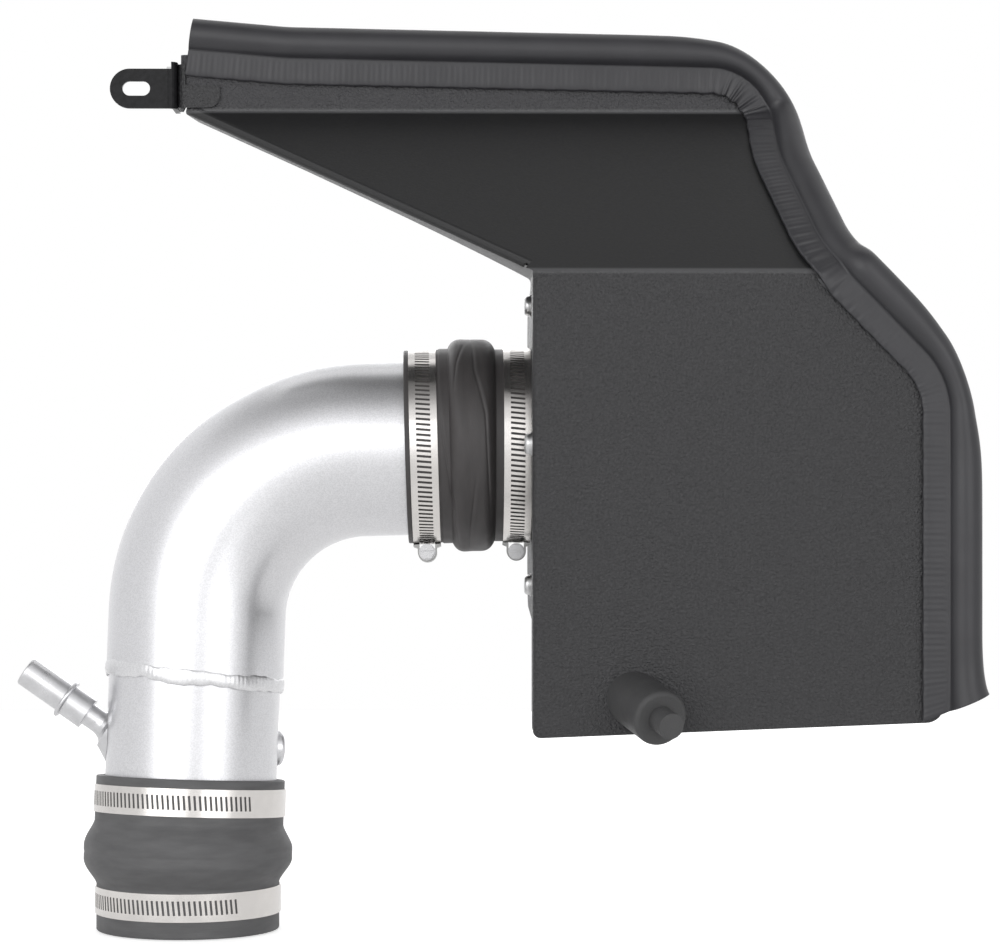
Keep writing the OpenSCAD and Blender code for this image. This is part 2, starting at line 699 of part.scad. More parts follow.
// Direction of the sloping panel in the section across its slanted edge
slope_in = unit(cross(in_slant(slope_normal), [1, 0, 0]));
slope_dir = slope_in[2] > 0 ? [slope_in[1], slope_in[2]] : [-slope_in[1], -slope_in[2]];
// Width of flat sheet that each fold takes with it, and relief at the ends of the folds
lap = 8;
relief = 4;

module slant_frame() {
    at_hub() translate([slant_to[0], top_y, slant_to[1]]) rotate([0, slant_angle, 0])
        rotate([0, 0, slant_turn]) children();
}
module heat_shield() {
    color("#3c3c3e") {
        difference() {
            at_hub() intersection() {
                translate([left_x - over, 0, 0]) rotate([90, 0, 90])
                    linear_extrude(shield_left + shield_right + 2 * over) polygon(panel_section);
                translate([0, 2 * panel_front, 0]) rotate([90, 0, 0])
                    linear_extrude(4 * panel_front) polygon(shield_outline);
            }
            fold_strips();
            peg_frame() translate([0, 0, -5 * over])
                cylinder(r = peg_stud_d / 2 + hole_gap, h = 10 * over);
        }
        left_flange();
        slant_flange();
        top_flange();
    }
}
// Strips of flat sheet whose place is taken by the folded edges
module fold_strips() {
    at_hub() {
        translate([side_x - over, front_y - over, -bottom_left + relief])
            cube([lap, sheet_t + 2 * over, bottom_left + fold_low - 2 * relief]);
        translate([left_x - over, top_y - over, fold_high + relief])
            cube([lap, sheet_t + 2 * over, top_left - fold_high]);
    }
    slant_frame() rotate([atan2(slope_dir[1], slope_dir[0]), 0, 0])
        translate([over, -over, -sheet_t - over]) cube([slant_len - relief - over, lap, sheet_t + 2 * over]);
}
module left_flange() {
    at_hub() translate([side_x, front_y, -bottom_left + relief]) difference() {
        linear_extrude(bottom_left + fold_low - 2 * relief)
            polygon(sheet_section([[0, flange_w], [0, 0], [lap, 0]], sheet_t, fold_r));
        translate([-over, flange_w, 0]) rotate([90, 0, 90]) corner_cut();
        front_screw_hole();
    }
}
// Cut that rounds a square corner at the origin, with the material below and to the right
module corner_cut() {
    difference() {
        translate([-corner_r, -over, 0]) cube([2 * corner_r, corner_r + over, 4 * over]);
        translate([-corner_r, corner_r, -over]) cylinder(r = corner_r, h = 6 * over);
    }
}
module front_screw_hole() {
    translate([-over, panel_front - screw_circle / 2, bottom_left - relief]) rotate([0, 90, 0])
        cylinder(r = screw_d / 2 + hole_gap, h = 5 * over);
}
module slant_flange() {
    difference() {
        slant_frame() translate([over, 0, 0]) rotate([90, 0, 90]) linear_extrude(slant_len - relief - over)
            polygon(sheet_section([slope_dir * lap, [0, 0], [flange_w, 0]], sheet_t, fold_r));
        at_hub() translate([side_x - relief, front_y + relief + over, 0])
            cube([lap + relief, 2 * flange_w, fold_low + relief]);
    }
}
module top_flange() {
    at_hub() translate([left_x, top_y, fold_high + relief]) difference() {
        linear_extrude(top_left - fold_high - relief - seam_out)
            polygon(sheet_section([[0, flange_w], [0, 0], [lap, 0]], sheet_t, fold_r));
        translate([-over, bolt_y - top_y, bolt_z - fold_high - relief]) rotate([0, 90, 0])
            cylinder(r = bolt_d / 2 + hole_gap, h = 5 * over);
    }
}

/* Side plate: folded once, it carries the filter adapter and runs up inside the slanted flange */
module side_plate() {
    slant_out = [sin(slant_angle), cos(slant_angle)];
    bend_z = fold_low + sheet_t * (1 - slant_out[0]) / slant_out[1];
    arm_from = front_y + sheet_t + fold_r + 3 * over;
    arm_to = top_y + sheet_t + fold_r + 3 * over;
    color("#3a3a3c") at_hub() difference() {
        intersection() {
            translate([0, plate_back + over, 0]) rotate([90, 0, 0]) linear_extrude(2 * panel_front + over)
                polygon(sheet_section([slant_to + slant_out * sheet_t + [lap, -lap * tan(slant_angle)],
                    [plate_x, bend_z], [plate_x, -plate_drop_front - over]], sheet_t, fold_r + sheet_t));
            translate([left_x, 0, 0]) rotate([90, 0, 90]) linear_extrude(2 * shield_left)
                polygon(round_path([[arm_from, fold_low], [arm_from, -plate_drop_front],
                    [plate_back, -plate_drop], [plate_back, fold_low - arm_depth / 3],
                    [arm_from + 2 * arm_depth, fold_low], [arm_to + arm_depth, fold_high],
                    [arm_to, fold_high]],
                    [0, corner_r, plate_corner, plate_corner, arm_depth, corner_r, 0], corner_steps));
        }
        translate([plate_x - over, 0, 0]) rotate([0, 90, 0]) cylinder(r = plate_hole / 2, h = 5 * over);
        screw_ring(plate_x - over) cylinder(r = screw_d / 2 + hole_gap, h = 5 * over);
    }
}
// Places what follows at each adapter screw, with Z towards the filter
module screw_ring(x) {
    for (i = [0:screw_count - 1])
        translate([x, 0, 0]) rotate([0, 90, 0]) rotate([0, 0, 360 * i / screw_count])
            translate([screw_circle / 2, 0, 0]) children();
}

/* Doubler over the left end of the top panel, and the bracket bolted through it */
hole_gap = 0.2;
doubler_w = 20.5;
doubler_foot = 1.5;
doubler_x = left_x - sheet_t;
doubler_y = top_y - sheet_t;
trim_foot = top_left - grip_depth - 5;
bolt_d = 6;
bolt_key = 10;
bolt_flange_r = 6.2;
bolt_z = bracket_z + 7.5;
bolt_y = top_y + 12;
module end_doubler() {
    height = bracket_z + 13 - fold_high - doubler_foot;
    color("#414144") at_hub() translate([doubler_x, doubler_y, fold_high + doubler_foot]) difference() {
        intersection() {
            linear_extrude(height)
                polygon(sheet_section([[0, flange_w], [0, 0], [doubler_w + sheet_t, 0]], sheet_t,
                    fold_r + sheet_t));
            translate([0, flange_w + over, 0]) rotate([90, 0, 0]) linear_extrude(flange_w + 2 * over)
                polygon(round_path([[-over, 0], [doubler_w + sheet_t, 0],
                    [doubler_w + sheet_t, trim_foot - fold_high - doubler_foot],
                    [2 * sheet_t + 1, trim_foot - fold_high - doubler_foot], [2 * sheet_t + 1, height],
                    [-over, height]], [0, 6, 0, 1, 1, 0], corner_steps));
        }
        translate([-over, bolt_y - doubler_y, bolt_z - fold_high - doubler_foot]) rotate([0, 90, 0])
            cylinder(r = bolt_d / 2 + hole_gap, h = 5 * over);
    }
}
module mounting_bracket() {
    arm_y = top_y - 4;
    arm_h = bracket_h / 2;
    leg_top = 14;
    arm_end = doubler_x - bracket_reach;
    color("#38393b") at_hub() difference() {
        intersection() {
            translate([0, 0, bracket_z - arm_h - over]) linear_extrude(2 * bracket_h)
                polygon(sheet_section([[arm_end - arm_h - over, arm_y], [doubler_x, arm_y],
                    [doubler_x, arm_y + bracket_foot]], bracket_t, bracket_t));
            translate([0, top_y + bracket_foot, bracket_z]) rotate([90, 0, 0])
                linear_extrude(2 * bracket_foot) union() {
                    translate([arm_end, 0]) circle(r = arm_h);
                    translate([arm_end, -arm_h]) square([bracket_reach + over, bracket_h]);
                    translate([doubler_x - bracket_t - over / 2, over - arm_h])
                        square([bracket_t + over, arm_h + leg_top - over]);
                }
        }
        translate([arm_end, arm_y - over, bracket_z]) rotate([-90, 0, 0]) linear_extrude(bracket_t + 2 * over)
            slot_shape();
        translate([doubler_x - 3 * over - bracket_t, bolt_y, bolt_z]) rotate([0, 90, 0])
            cylinder(r = bolt_d / 2 + hole_gap, h = 5 * over + bracket_t);
    }
}
module slot_shape() {
    translate([0, 0]) circle(r = bracket_slot_h / 2);
    translate([bracket_slot_pitch, 0]) circle(r = bracket_slot_h / 2);
    translate([0, -bracket_slot_h / 2]) square([bracket_slot_pitch, bracket_slot_h]);
}
// Hexagon of the given key size
module hexagon(key, h) {
    cylinder(r = key / sqrt(3), h = h, $fn = 6);
}
module bracket_bolt() {
    head_h = 4;
    washer_h = 1;
    grip = bracket_t + 2 * sheet_t;
    color("#b8b9bb") at_hub() translate([doubler_x - bracket_t, bolt_y, bolt_z]) rotate([0, 90, 0]) {
        cylinder(r = bolt_d / 2, h = grip + 2 * bolt_d);
        translate([0, 0, -washer_h]) cylinder(r = bolt_flange_r, h = washer_h);
        translate([0, 0, -head_h]) hexagon(bolt_key, head_h);
    }
}
module bracket_nut() {
    nut_h = 5;
    flange_h = 1;
    color("#b8b9bb") at_hub() translate([left_x + sheet_t, bolt_y, bolt_z]) rotate([0, 90, 0])
        difference() {
            union() {
                hexagon(bolt_key, nut_h);
                cylinder(r = bolt_flange_r, h = flange_h);
            }
            translate([0, 0, -over]) cylinder(r = bolt_d / 2 + grip_gap, h = nut_h + 2 * over);
        }
}

/* Edge trim: a hollow bulb on a grip, swept along the edge of the folded sheet */
function depth_at(z) = z < fold_low ? front_y : z > fold_high ? top_y
    : front_y + panel_setback * (z - fold_low) / (fold_high - fold_low);
function normal_at(z) = z < fold_low || z > fold_high ? [0, -1, 0] : slope_normal;
// The path gets one point on each fold and none just beside it
fold_clear = 4.5;
function crosses(a, b, z) = (a[1] - z) * (b[1] - z) < 0;
function on_fold(a, b, z) = a + (b - a) * (z - a[1]) / (b[1] - a[1]);
function near_fold(p) = min(abs(p[1] - fold_low), abs(p[1] - fold_high)) < fold_clear;
edge_last = len(edge_line) - 1;
foot_steps = [44, 30, 17];
trim_path = concat(
    [for (i = [0:edge_last - 1]) let(p = edge_line[i], q = edge_line[i + 1])
        each concat(near_fold(p) && p[0] > 0 ? [] : [p],
            crosses(p, q, fold_high) ? [on_fold(p, q, fold_high)] : [],
            crosses(p, q, fold_low) ? [on_fold(p, q, fold_low)] : [])],
    [for (s = foot_steps) [right_x, s - bottom_right]], [edge_line[edge_last]]);
trim_last = len(trim_path) - 1;
function lift(p) = [p[0], depth_at(p[1]) + sheet_t / 2, p[1]];
trim_line = [for (p = trim_path) lift(p)];
function panel_of(i) = normal_at((trim_path[i][1] + trim_path[i + 1][1]) / 2);
function ring_normal(i) = i == 0 ? panel_of(0) : i == trim_last ? panel_of(i - 1)
    : unit(panel_of(i - 1) + panel_of(i));
function ring_dir(i) = i == 0 ? unit(trim_line[1] - trim_line[0])
    : i == trim_last ? unit(trim_line[i] - trim_line[i - 1])
    : unit(unit(trim_line[i] - trim_line[i - 1]) + unit(trim_line[i + 1] - trim_line[i]));
function ring_point(i, s, ahead) = let(n = ring_normal(i), d = ring_dir(i), o = unit(cross(n, d)))
    trim_line[i] + d * ahead + o * s[0] + unit(cross(d, o)) * s[1];
// The bulb is drawn thin round the shoulder and the elbow, and flares at its open foot
pinch_at = [shoulder - [8, 8], elbow_point - [5, 5]];
pinch_run = 24;
pinch_share = 0.3;
flare_share = 0.2;
function pinch(p) = max([for (c = pinch_at) exp(-pow(norm(p - c) / pinch_run, 2))]);
function to_foot(i) = trim_path[i][0] < right_x - over ? foot_steps[0]
    : min(foot_steps[0], trim_path[i][1] + bottom_right);
function flare(i) = pow(1 - to_foot(i) / foot_steps[0], 2);
function swell(i) = 1 - pinch_share * pinch(trim_path[i]) + flare_share * flare(i);
// The foot is cut on a slant, higher at the bulb, and the left end is cut nearly square
foot_slant = 0.42;
left_slant = 0.06;
function end_slant(i) = i == 0 ? left_slant : -foot_slant * flare(i);
function foot_lift(i, s) = end_slant(i) * (s[0] + grip_depth);

bulb_sides = 20;
slot_half = sheet_t / 2 + trim_gap;
lip_bevel = 0.4;
slot_foot = seam_out - lip_bevel;
lip_round = 0.8;
bulb_out = 0.92 * bulb_r;
open_angle = asin(0.95 * grip_t / bulb_od);
function trim_section(k) = concat(
    [[-grip_depth + lip_bevel, slot_half], [-slot_foot, slot_half], [-slot_foot, -slot_half],
     [-grip_depth + lip_bevel, -slot_half],
     [-grip_depth, lip_round - grip_t / 2], [-grip_depth + 1, -grip_t / 2]],
    [for (j = [0:bulb_sides]) let(a = -180 + open_angle + (360 - 2 * open_angle) * j / bulb_sides)
        [bulb_out + k * bulb_r * cos(a) + (k - 1) * bulb_r, max(k, 1) * bulb_r * sin(a)]],
    [[-grip_depth + 1, grip_t / 2], [-grip_depth, grip_t / 2 - lip_round]]);
function bore_section(k) = [for (j = [0:bulb_sides - 1]) let(a = 360 * j / bulb_sides)
    [bulb_out + (k - 1) * bulb_r + (k * bulb_r - bulb_wall) * cos(a),
        (max(k, 1) * bulb_r - bulb_wall) * sin(a)]];
// Closed solid through rings of equal point counts
module swept(rings) {
    n = len(rings[0]);
    last = len(rings) - 1;
    polyhedron(
        points = [for (r = rings) each r],
        faces = concat(
            [[for (j = [0:n - 1]) j]],
            [for (i = [0:last - 1], j = [0:n - 1]) each [
                [i * n + j, (i + 1) * n + j, i * n + (j + 1) % n],
                [(i + 1) * n + j, (i + 1) * n + (j + 1) % n, i * n + (j + 1) % n]]],
            [[for (j = [n - 1:-1:0]) last * n + j]]));
}
module edge_trim() {
    color("#2c2c2e") at_hub() difference() {
        swept([for (i = [0:trim_last]) [for (s = trim_section(swell(i))) ring_point(i, s, foot_lift(i, s))]]);
        swept([for (i = [0:trim_last]) [for (s = bore_section(swell(i)))
            ring_point(i, s, foot_lift(i, s) + (i == 0 ? -over : i == trim_last ? over : 0))]]);
    }
}

/* Filter adapter: Z towards the filter, from the inner face of the side plate */
stub_shoulder = 1.5;
shoulder_t = 2;
module filter_adapter() {
    color("#2f3032") on_adapter() difference() {
        union() {
            translate([0, 0, inner_x - stub_out])
                cylinder(r = stub_od / 2, h = stub_out + adapter_flange_t + stub_in);
            translate([0, 0, inner_x]) cylinder(r = adapter_flange_od / 2, h = adapter_flange_t);
            translate([0, 0, inner_x + adapter_flange_t])
                cylinder(r = stub_od / 2 + stub_shoulder, h = shoulder_t);
        }
        translate([0, 0, inner_x - stub_out - over])
            cylinder(r = adapter_bore / 2, h = stub_out + adapter_flange_t + stub_in + 2 * over);
        translate([0, 0, inner_x - over]) for (i = [0:screw_count - 1])
            rotate([0, 0, 360 * i / screw_count]) translate([screw_circle / 2, 0, 0])
                cylinder(r = screw_d / 2 + grip_gap, h = adapter_flange_t + 2 * over);
    }
}
// The screw at the front sits on the folded flange, the others on the side plate
washer_t = 0.8;
washer_od = 12;
function seat_x(i) = abs(sin(360 * i / screw_count) + 1) < 0.2 ? side_x : plate_x;
module adapter_screws() {
    head_h = 3;
    head_od = 10.5;
    key = 4;
    screw_len = 2 * sheet_t + adapter_flange_t + 4;
    color("#c9cacc") on_adapter() for (i = [0:screw_count - 1])
        rotate([0, 0, 360 * i / screw_count]) translate([screw_circle / 2, 0, 0]) difference() {
            union() {
                translate([0, 0, seat_x(i)]) cylinder(r = screw_d / 2, h = screw_len);
                translate([0, 0, seat_x(i) - washer_t]) mirror([0, 0, 1]) rotate_extrude() polygon(concat(
                    [[0, -washer_t], [screw_d / 2, -washer_t], [screw_d / 2, 0], [head_od / 2, 0]],
                    [for (k = [0:corner_steps]) let(a = 90 * k / corner_steps)
                        [head_od / 3 + head_od / 6 * cos(a), head_h * (0.25 + 0.75 * sin(a))]],
                    [[0, head_h]]));
            }
            translate([0, 0, seat_x(i) - washer_t - head_h - over]) hexagon(key, 2 + over);
        }
}
module adapter_washers() {
    color("#c9cacc") on_adapter() for (i = [0:screw_count - 1])
        rotate([0, 0, 360 * i / screw_count]) translate([screw_circle / 2, 0, seat_x(i) - washer_t])
            ring(screw_d / 2 + hole_gap, washer_od / 2, washer_t);
}

/* Air filter */
filter_gap = 0.6;
filter_neck_x = inner_x + adapter_flange_t + shoulder_t + filter_gap;
filter_base_x = filter_neck_x + filter_neck;
media_x = filter_base_x + filter_base_t;
module filter_base() {
    round_r = 5;
    neck_r = tube_grip_r + hose_wall;
    color("#303032") on_adapter() rotate_extrude() polygon(concat(
        [[tube_grip_r, filter_neck_x], [neck_r, filter_neck_x], [neck_r, filter_base_x - 1],
         [filter_base_od / 2 - 2 * round_r, filter_base_x]],
        [for (k = [0:corner_steps]) let(a = -90 + 90 * k / corner_steps)
            [filter_base_od / 2 - round_r + cos(a) * round_r, filter_base_x + round_r + sin(a) * round_r]],
        [[filter_base_od / 2, media_x - 2], [filter_base_od / 2 - 2, media_x],
         [tube_grip_r + 3, media_x], [tube_grip_r + 3, filter_base_x + 10], [tube_grip_r, filter_base_x + 8]]));
}
tube_grip_r = stub_od / 2 + grip_gap;
module filter_media() {
    root = media_base_od / 2 - pleat_depth;
    color("#9c2a2c") on_adapter() translate([0, 0, media_x])
        linear_extrude(media_len, scale = media_cap_od / media_base_od) difference() {
            polygon([for (i = [0:pleats - 1]) let(w = 360 / pleats, a = i * w, tip = w / 8)
                each [[cos(a - tip), sin(a - tip)] * media_base_od / 2,
                    [cos(a + tip), sin(a + tip)] * media_base_od / 2,
                    [cos(a + w / 2), sin(a + w / 2)] * root]]);
            circle(r = root - 2, $fn = pleats);
        }
}
module filter_cap() {
    round_r = 5;
    dish = 3;
    color("#303032") on_adapter() translate([0, 0, media_x + media_len]) rotate_extrude() polygon(concat(
        [[0, 0], [cap_od / 2 - 2, 0], [cap_od / 2, 2]],
        [for (k = [0:corner_steps]) let(a = 90 * k / corner_steps)
            [cap_od / 2 - round_r + cos(a) * round_r, cap_t - round_r + sin(a) * round_r]],
        [[cap_od / 2 - 4 * round_r, cap_t], [cap_od / 2 - 4 * round_r - dish, cap_t - dish],
            [0, cap_t - dish]]));
}

/* Locating peg: Z out of the front panel; the rubber leans, its stud stands square */
module peg_frame() {
    at_hub() translate([side_x + peg_x, front_y, -peg_drop]) rotate([90, 0, 0]) children();
}
module locating_peg() {
    round_r = 2.5;
    stud_len = 16;
    color("#38383a") peg_frame() {
        intersection() {
            rotate([0, 0, peg_way]) rotate([0, peg_lean, 0]) rotate([0, 0, -peg_way]) {
                rotate_extrude() polygon(concat(
                    [[0, -peg_len], [peg_od / 2, -peg_len]],
                    [for (k = [0:corner_steps]) let(a = 90 * k / corner_steps)
                        [peg_od / 2 - round_r + cos(a) * round_r, peg_len - round_r + sin(a) * round_r]],
                    [[0, peg_len]]));
                translate([0, 0, peg_len - over]) cylinder(r = peg_tip_od / 2, h = peg_tip_len + over);
            }
            translate([-2 * peg_len, -2 * peg_len, 0]) cube([4 * peg_len, 4 * peg_len, 4 * peg_len]);
        }
        translate([0, 0, -stud_len]) cylinder(r = peg_stud_d / 2, h = stud_len + over);
    }
}
peg_washer_t = 1.5;
module peg_washer() {
    color("#b8b9bb") peg_frame() translate([0, 0, -sheet_t - peg_washer_t])
        ring(peg_stud_d / 2 + hole_gap, 1.5 * peg_stud_d, peg_washer_t);
}
module peg_nut() {
    nut_h = 5;
    color("#b8b9bb") peg_frame() translate([0, 0, -sheet_t - peg_washer_t - nut_h]) difference() {
        hexagon(peg_stud_d * 5 / 3, nut_h);
        translate([0, 0, -over]) cylinder(r = peg_stud_d / 2 + grip_gap, h = nut_h + 2 * over);
    }
}

intake_elbow();
lower_tube();
vent_nipple();
sensor_bung();
bung_plug();
engine_coupler();
filter_coupler();
engine_clamp_band();
engine_clamp_housing();
engine_clamp_screw();
lower_tube_clamp_band();
lower_tube_clamp_housing();
lower_tube_clamp_screw();
elbow_clamp_band();
elbow_clamp_housing();
elbow_clamp_screw();
adapter_clamp_band();
adapter_clamp_housing();
adapter_clamp_screw();
filter_clamp_band();
filter_clamp_housing();
filter_clamp_screw();
heat_shield();
side_plate();
end_doubler();
edge_trim();
mounting_bracket();
bracket_bolt();
bracket_nut();
filter_adapter();
adapter_screws();
adapter_washers();
filter_base();
filter_media();
filter_cap();
locating_peg();
peg_washer();
peg_nut();
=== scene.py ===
"""Looks of a cold air intake pipe with its couplers, clamps, heat shield and filter."""

import logging
import math
from dataclasses import dataclass, field
from enum import Enum
from typing import Iterable, Sequence

import bmesh
import bpy
import numpy as np
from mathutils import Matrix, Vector


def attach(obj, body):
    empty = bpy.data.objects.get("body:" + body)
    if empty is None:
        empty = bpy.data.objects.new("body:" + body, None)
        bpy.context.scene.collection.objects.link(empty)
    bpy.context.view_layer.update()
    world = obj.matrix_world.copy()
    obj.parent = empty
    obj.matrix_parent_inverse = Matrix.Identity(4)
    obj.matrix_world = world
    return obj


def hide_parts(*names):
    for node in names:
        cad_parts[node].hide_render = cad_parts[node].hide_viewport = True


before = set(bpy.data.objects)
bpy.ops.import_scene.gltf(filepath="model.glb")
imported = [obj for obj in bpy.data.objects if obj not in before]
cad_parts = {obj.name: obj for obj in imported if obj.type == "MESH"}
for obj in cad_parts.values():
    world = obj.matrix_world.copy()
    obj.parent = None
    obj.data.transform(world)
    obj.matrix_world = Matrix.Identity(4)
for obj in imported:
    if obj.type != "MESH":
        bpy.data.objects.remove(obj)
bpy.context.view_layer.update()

LOG = logging.getLogger("intake")
MM = 0.001
BODY = "root"
Color = tuple[float, float, float]
Array = np.ndarray
Material = bpy.types.Material
Socket = bpy.types.NodeSocket
Piece = bpy.types.Object
Wave = tuple[float, float, float]
Crease = tuple[tuple[float, float], ...]


# Small vector tools

def unit(v: Array) -> Array:
    """Scale each row vector to length one.

    Args:
        v: One vector or rows of vectors.

    Returns:
        The same shape with unit rows.
    """
    v = np.asarray(v, float)
    return v / np.maximum(np.linalg.norm(v, axis=-1, keepdims=True), 1e-12)


def smooth_step(t: Array) -> Array:
    """Ease from 0 to 1 as t goes from 0 to 1."""
    t = np.clip(t, 0.0, 1.0)
    return t * t * (3 - 2 * t)


def waves(t: Array, parts: Sequence[Wave]) -> Array:
    """Sum of sine waves, each given by its height, its rate and its start."""
    return sum(height * np.sin(t * rate + start) for height, rate, start in parts)


def turn_about(axis: int, degrees: float) -> Array:
    """Rotation matrix about a main axis.

    Args:
        axis: 0 for X, 1 for Y, 2 for Z.
        degrees: Right-handed angle.

    Returns:
        A 3 by 3 matrix.
    """
    a = math.radians(degrees)
    c, s = math.cos(a), math.sin(a)
    i, j = [(1, 2), (2, 0), (0, 1)][axis]
    m = np.eye(3)
    m[i, i] = m[j, j] = c
    m[i, j], m[j, i] = -s, s
    return m


# Meshes

class Caps(Enum):
    """How a lofted grid ends."""

    OPEN = "open"
    WRAP = "wrap"


def grid_object(name: str, rows: Array, caps: Caps,
                loops_uv: tuple[Array, Array] | None = None) -> Piece:
    """Make a mesh from rows of closed rings.

    Args:
        name: Name of the object and its mesh.
        rows: Array of rings by points by 3, in metres.
        caps: WRAP joins the last ring to the first.
        loops_uv: Optional run along the rows in metres and share of the way round, as a UV map.

    Returns:
        The new object, linked to the scene and smooth.
    """
    n, m = rows.shape[:2]
    faces = []
    last = n if caps is Caps.WRAP else n - 1
    for i in range(last):
        a, b = i * m, ((i + 1) % n) * m
        for j in range(m):
            k = (j + 1) % m
            faces.append((a + j, a + k, b + k, b + j))
    mesh = bpy.data.meshes.new(name)
    mesh.from_pydata([tuple(p) for p in rows.reshape(-1, 3)], [], faces)
    if loops_uv is not None:
        run, girth = loops_uv
        layer = mesh.uv_layers.new(name="run")
        uv = []
        for i in range(last):
            ahead = run[min(i + 1, n - 1)]
            for j in range(m):
                uv += [(run[i], girth[j]), (run[i], girth[j + 1]), (ahead, girth[j + 1]), (ahead, girth[j])]
        layer.data.foreach_set("uv", np.array(uv, np.float32).ravel())
    mesh.validate()
    outward(mesh)
    return shown(name, mesh)


def outward(mesh: bpy.types.Mesh) -> None:
    """Turn all faces of a closed mesh outward and shade it smooth."""
    bm = bmesh.new()
    bm.from_mesh(mesh)
    bmesh.ops.recalc_face_normals(bm, faces=bm.faces)
    for f in bm.faces:
        f.smooth = True
    bm.to_mesh(mesh)
    bm.free()


def shown(name: str, mesh: bpy.types.Mesh) -> Piece:
    """Link a mesh to the scene as an object of the given name."""
    obj = bpy.data.objects.new(name, mesh)
    bpy.context.scene.collection.objects.link(obj)
    return obj


def circle_rows(centers: Array, u: Array, v: Array, radii: Array, count: int) -> Array:
    """Rings of points round given centres.

    Args:
        centers: Centre of each ring.
        u: First direction in the plane of each ring.
        v: Second direction in the plane of each ring.
        radii: Radius of each ring.
        count: Points in a ring.

    Returns:
        Array of rings by count by 3.
    """
    a = np.linspace(0, 2 * math.pi, count, endpoint=False)
    return (centers[:, None, :]
            + radii[:, None, None] * (np.cos(a)[None, :, None] * u[:, None, :]
                                      + np.sin(a)[None, :, None] * v[:, None, :]))


def place(obj: Piece, material: Material, slot: str, *nodes: str) -> Piece:
    """Dress a piece, let it ride on the part and say what it stands for.

    Args:
        obj: The piece.
        material: Its finish.
        slot: The record's material slot; not used.
        nodes: CAD nodes that it replaces.

    Returns:
        The piece.
    """
    obj.data.materials.clear()
    obj.data.materials.append(material)
    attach(obj, BODY)
    if nodes:
        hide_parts(*nodes)
    stands_for = ", ".join(nodes) or "nothing"
    LOG.info("piece %s: %d faces, replaces %s", obj.name, len(obj.data.polygons), stands_for)
    return obj


def dress(node: str, material: Material, crease: float = 32.0) -> None:
    """Give a CAD node its finish.

    Args:
        node: Name of the CAD node.
        material: Finish that all its slots get.
        crease: Edges that turn more than this, in degrees, stay sharp.
    """
    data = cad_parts[node].data
    if not data.materials:
        data.materials.append(material)
    for i in range(len(data.materials)):
        data.materials[i] = material
    data.polygons.foreach_set("use_smooth", [True] * len(data.polygons))
    data.set_sharp_from_angle(angle=math.radians(crease))
    LOG.info("node %s: %s", node, material.name)


# Materials

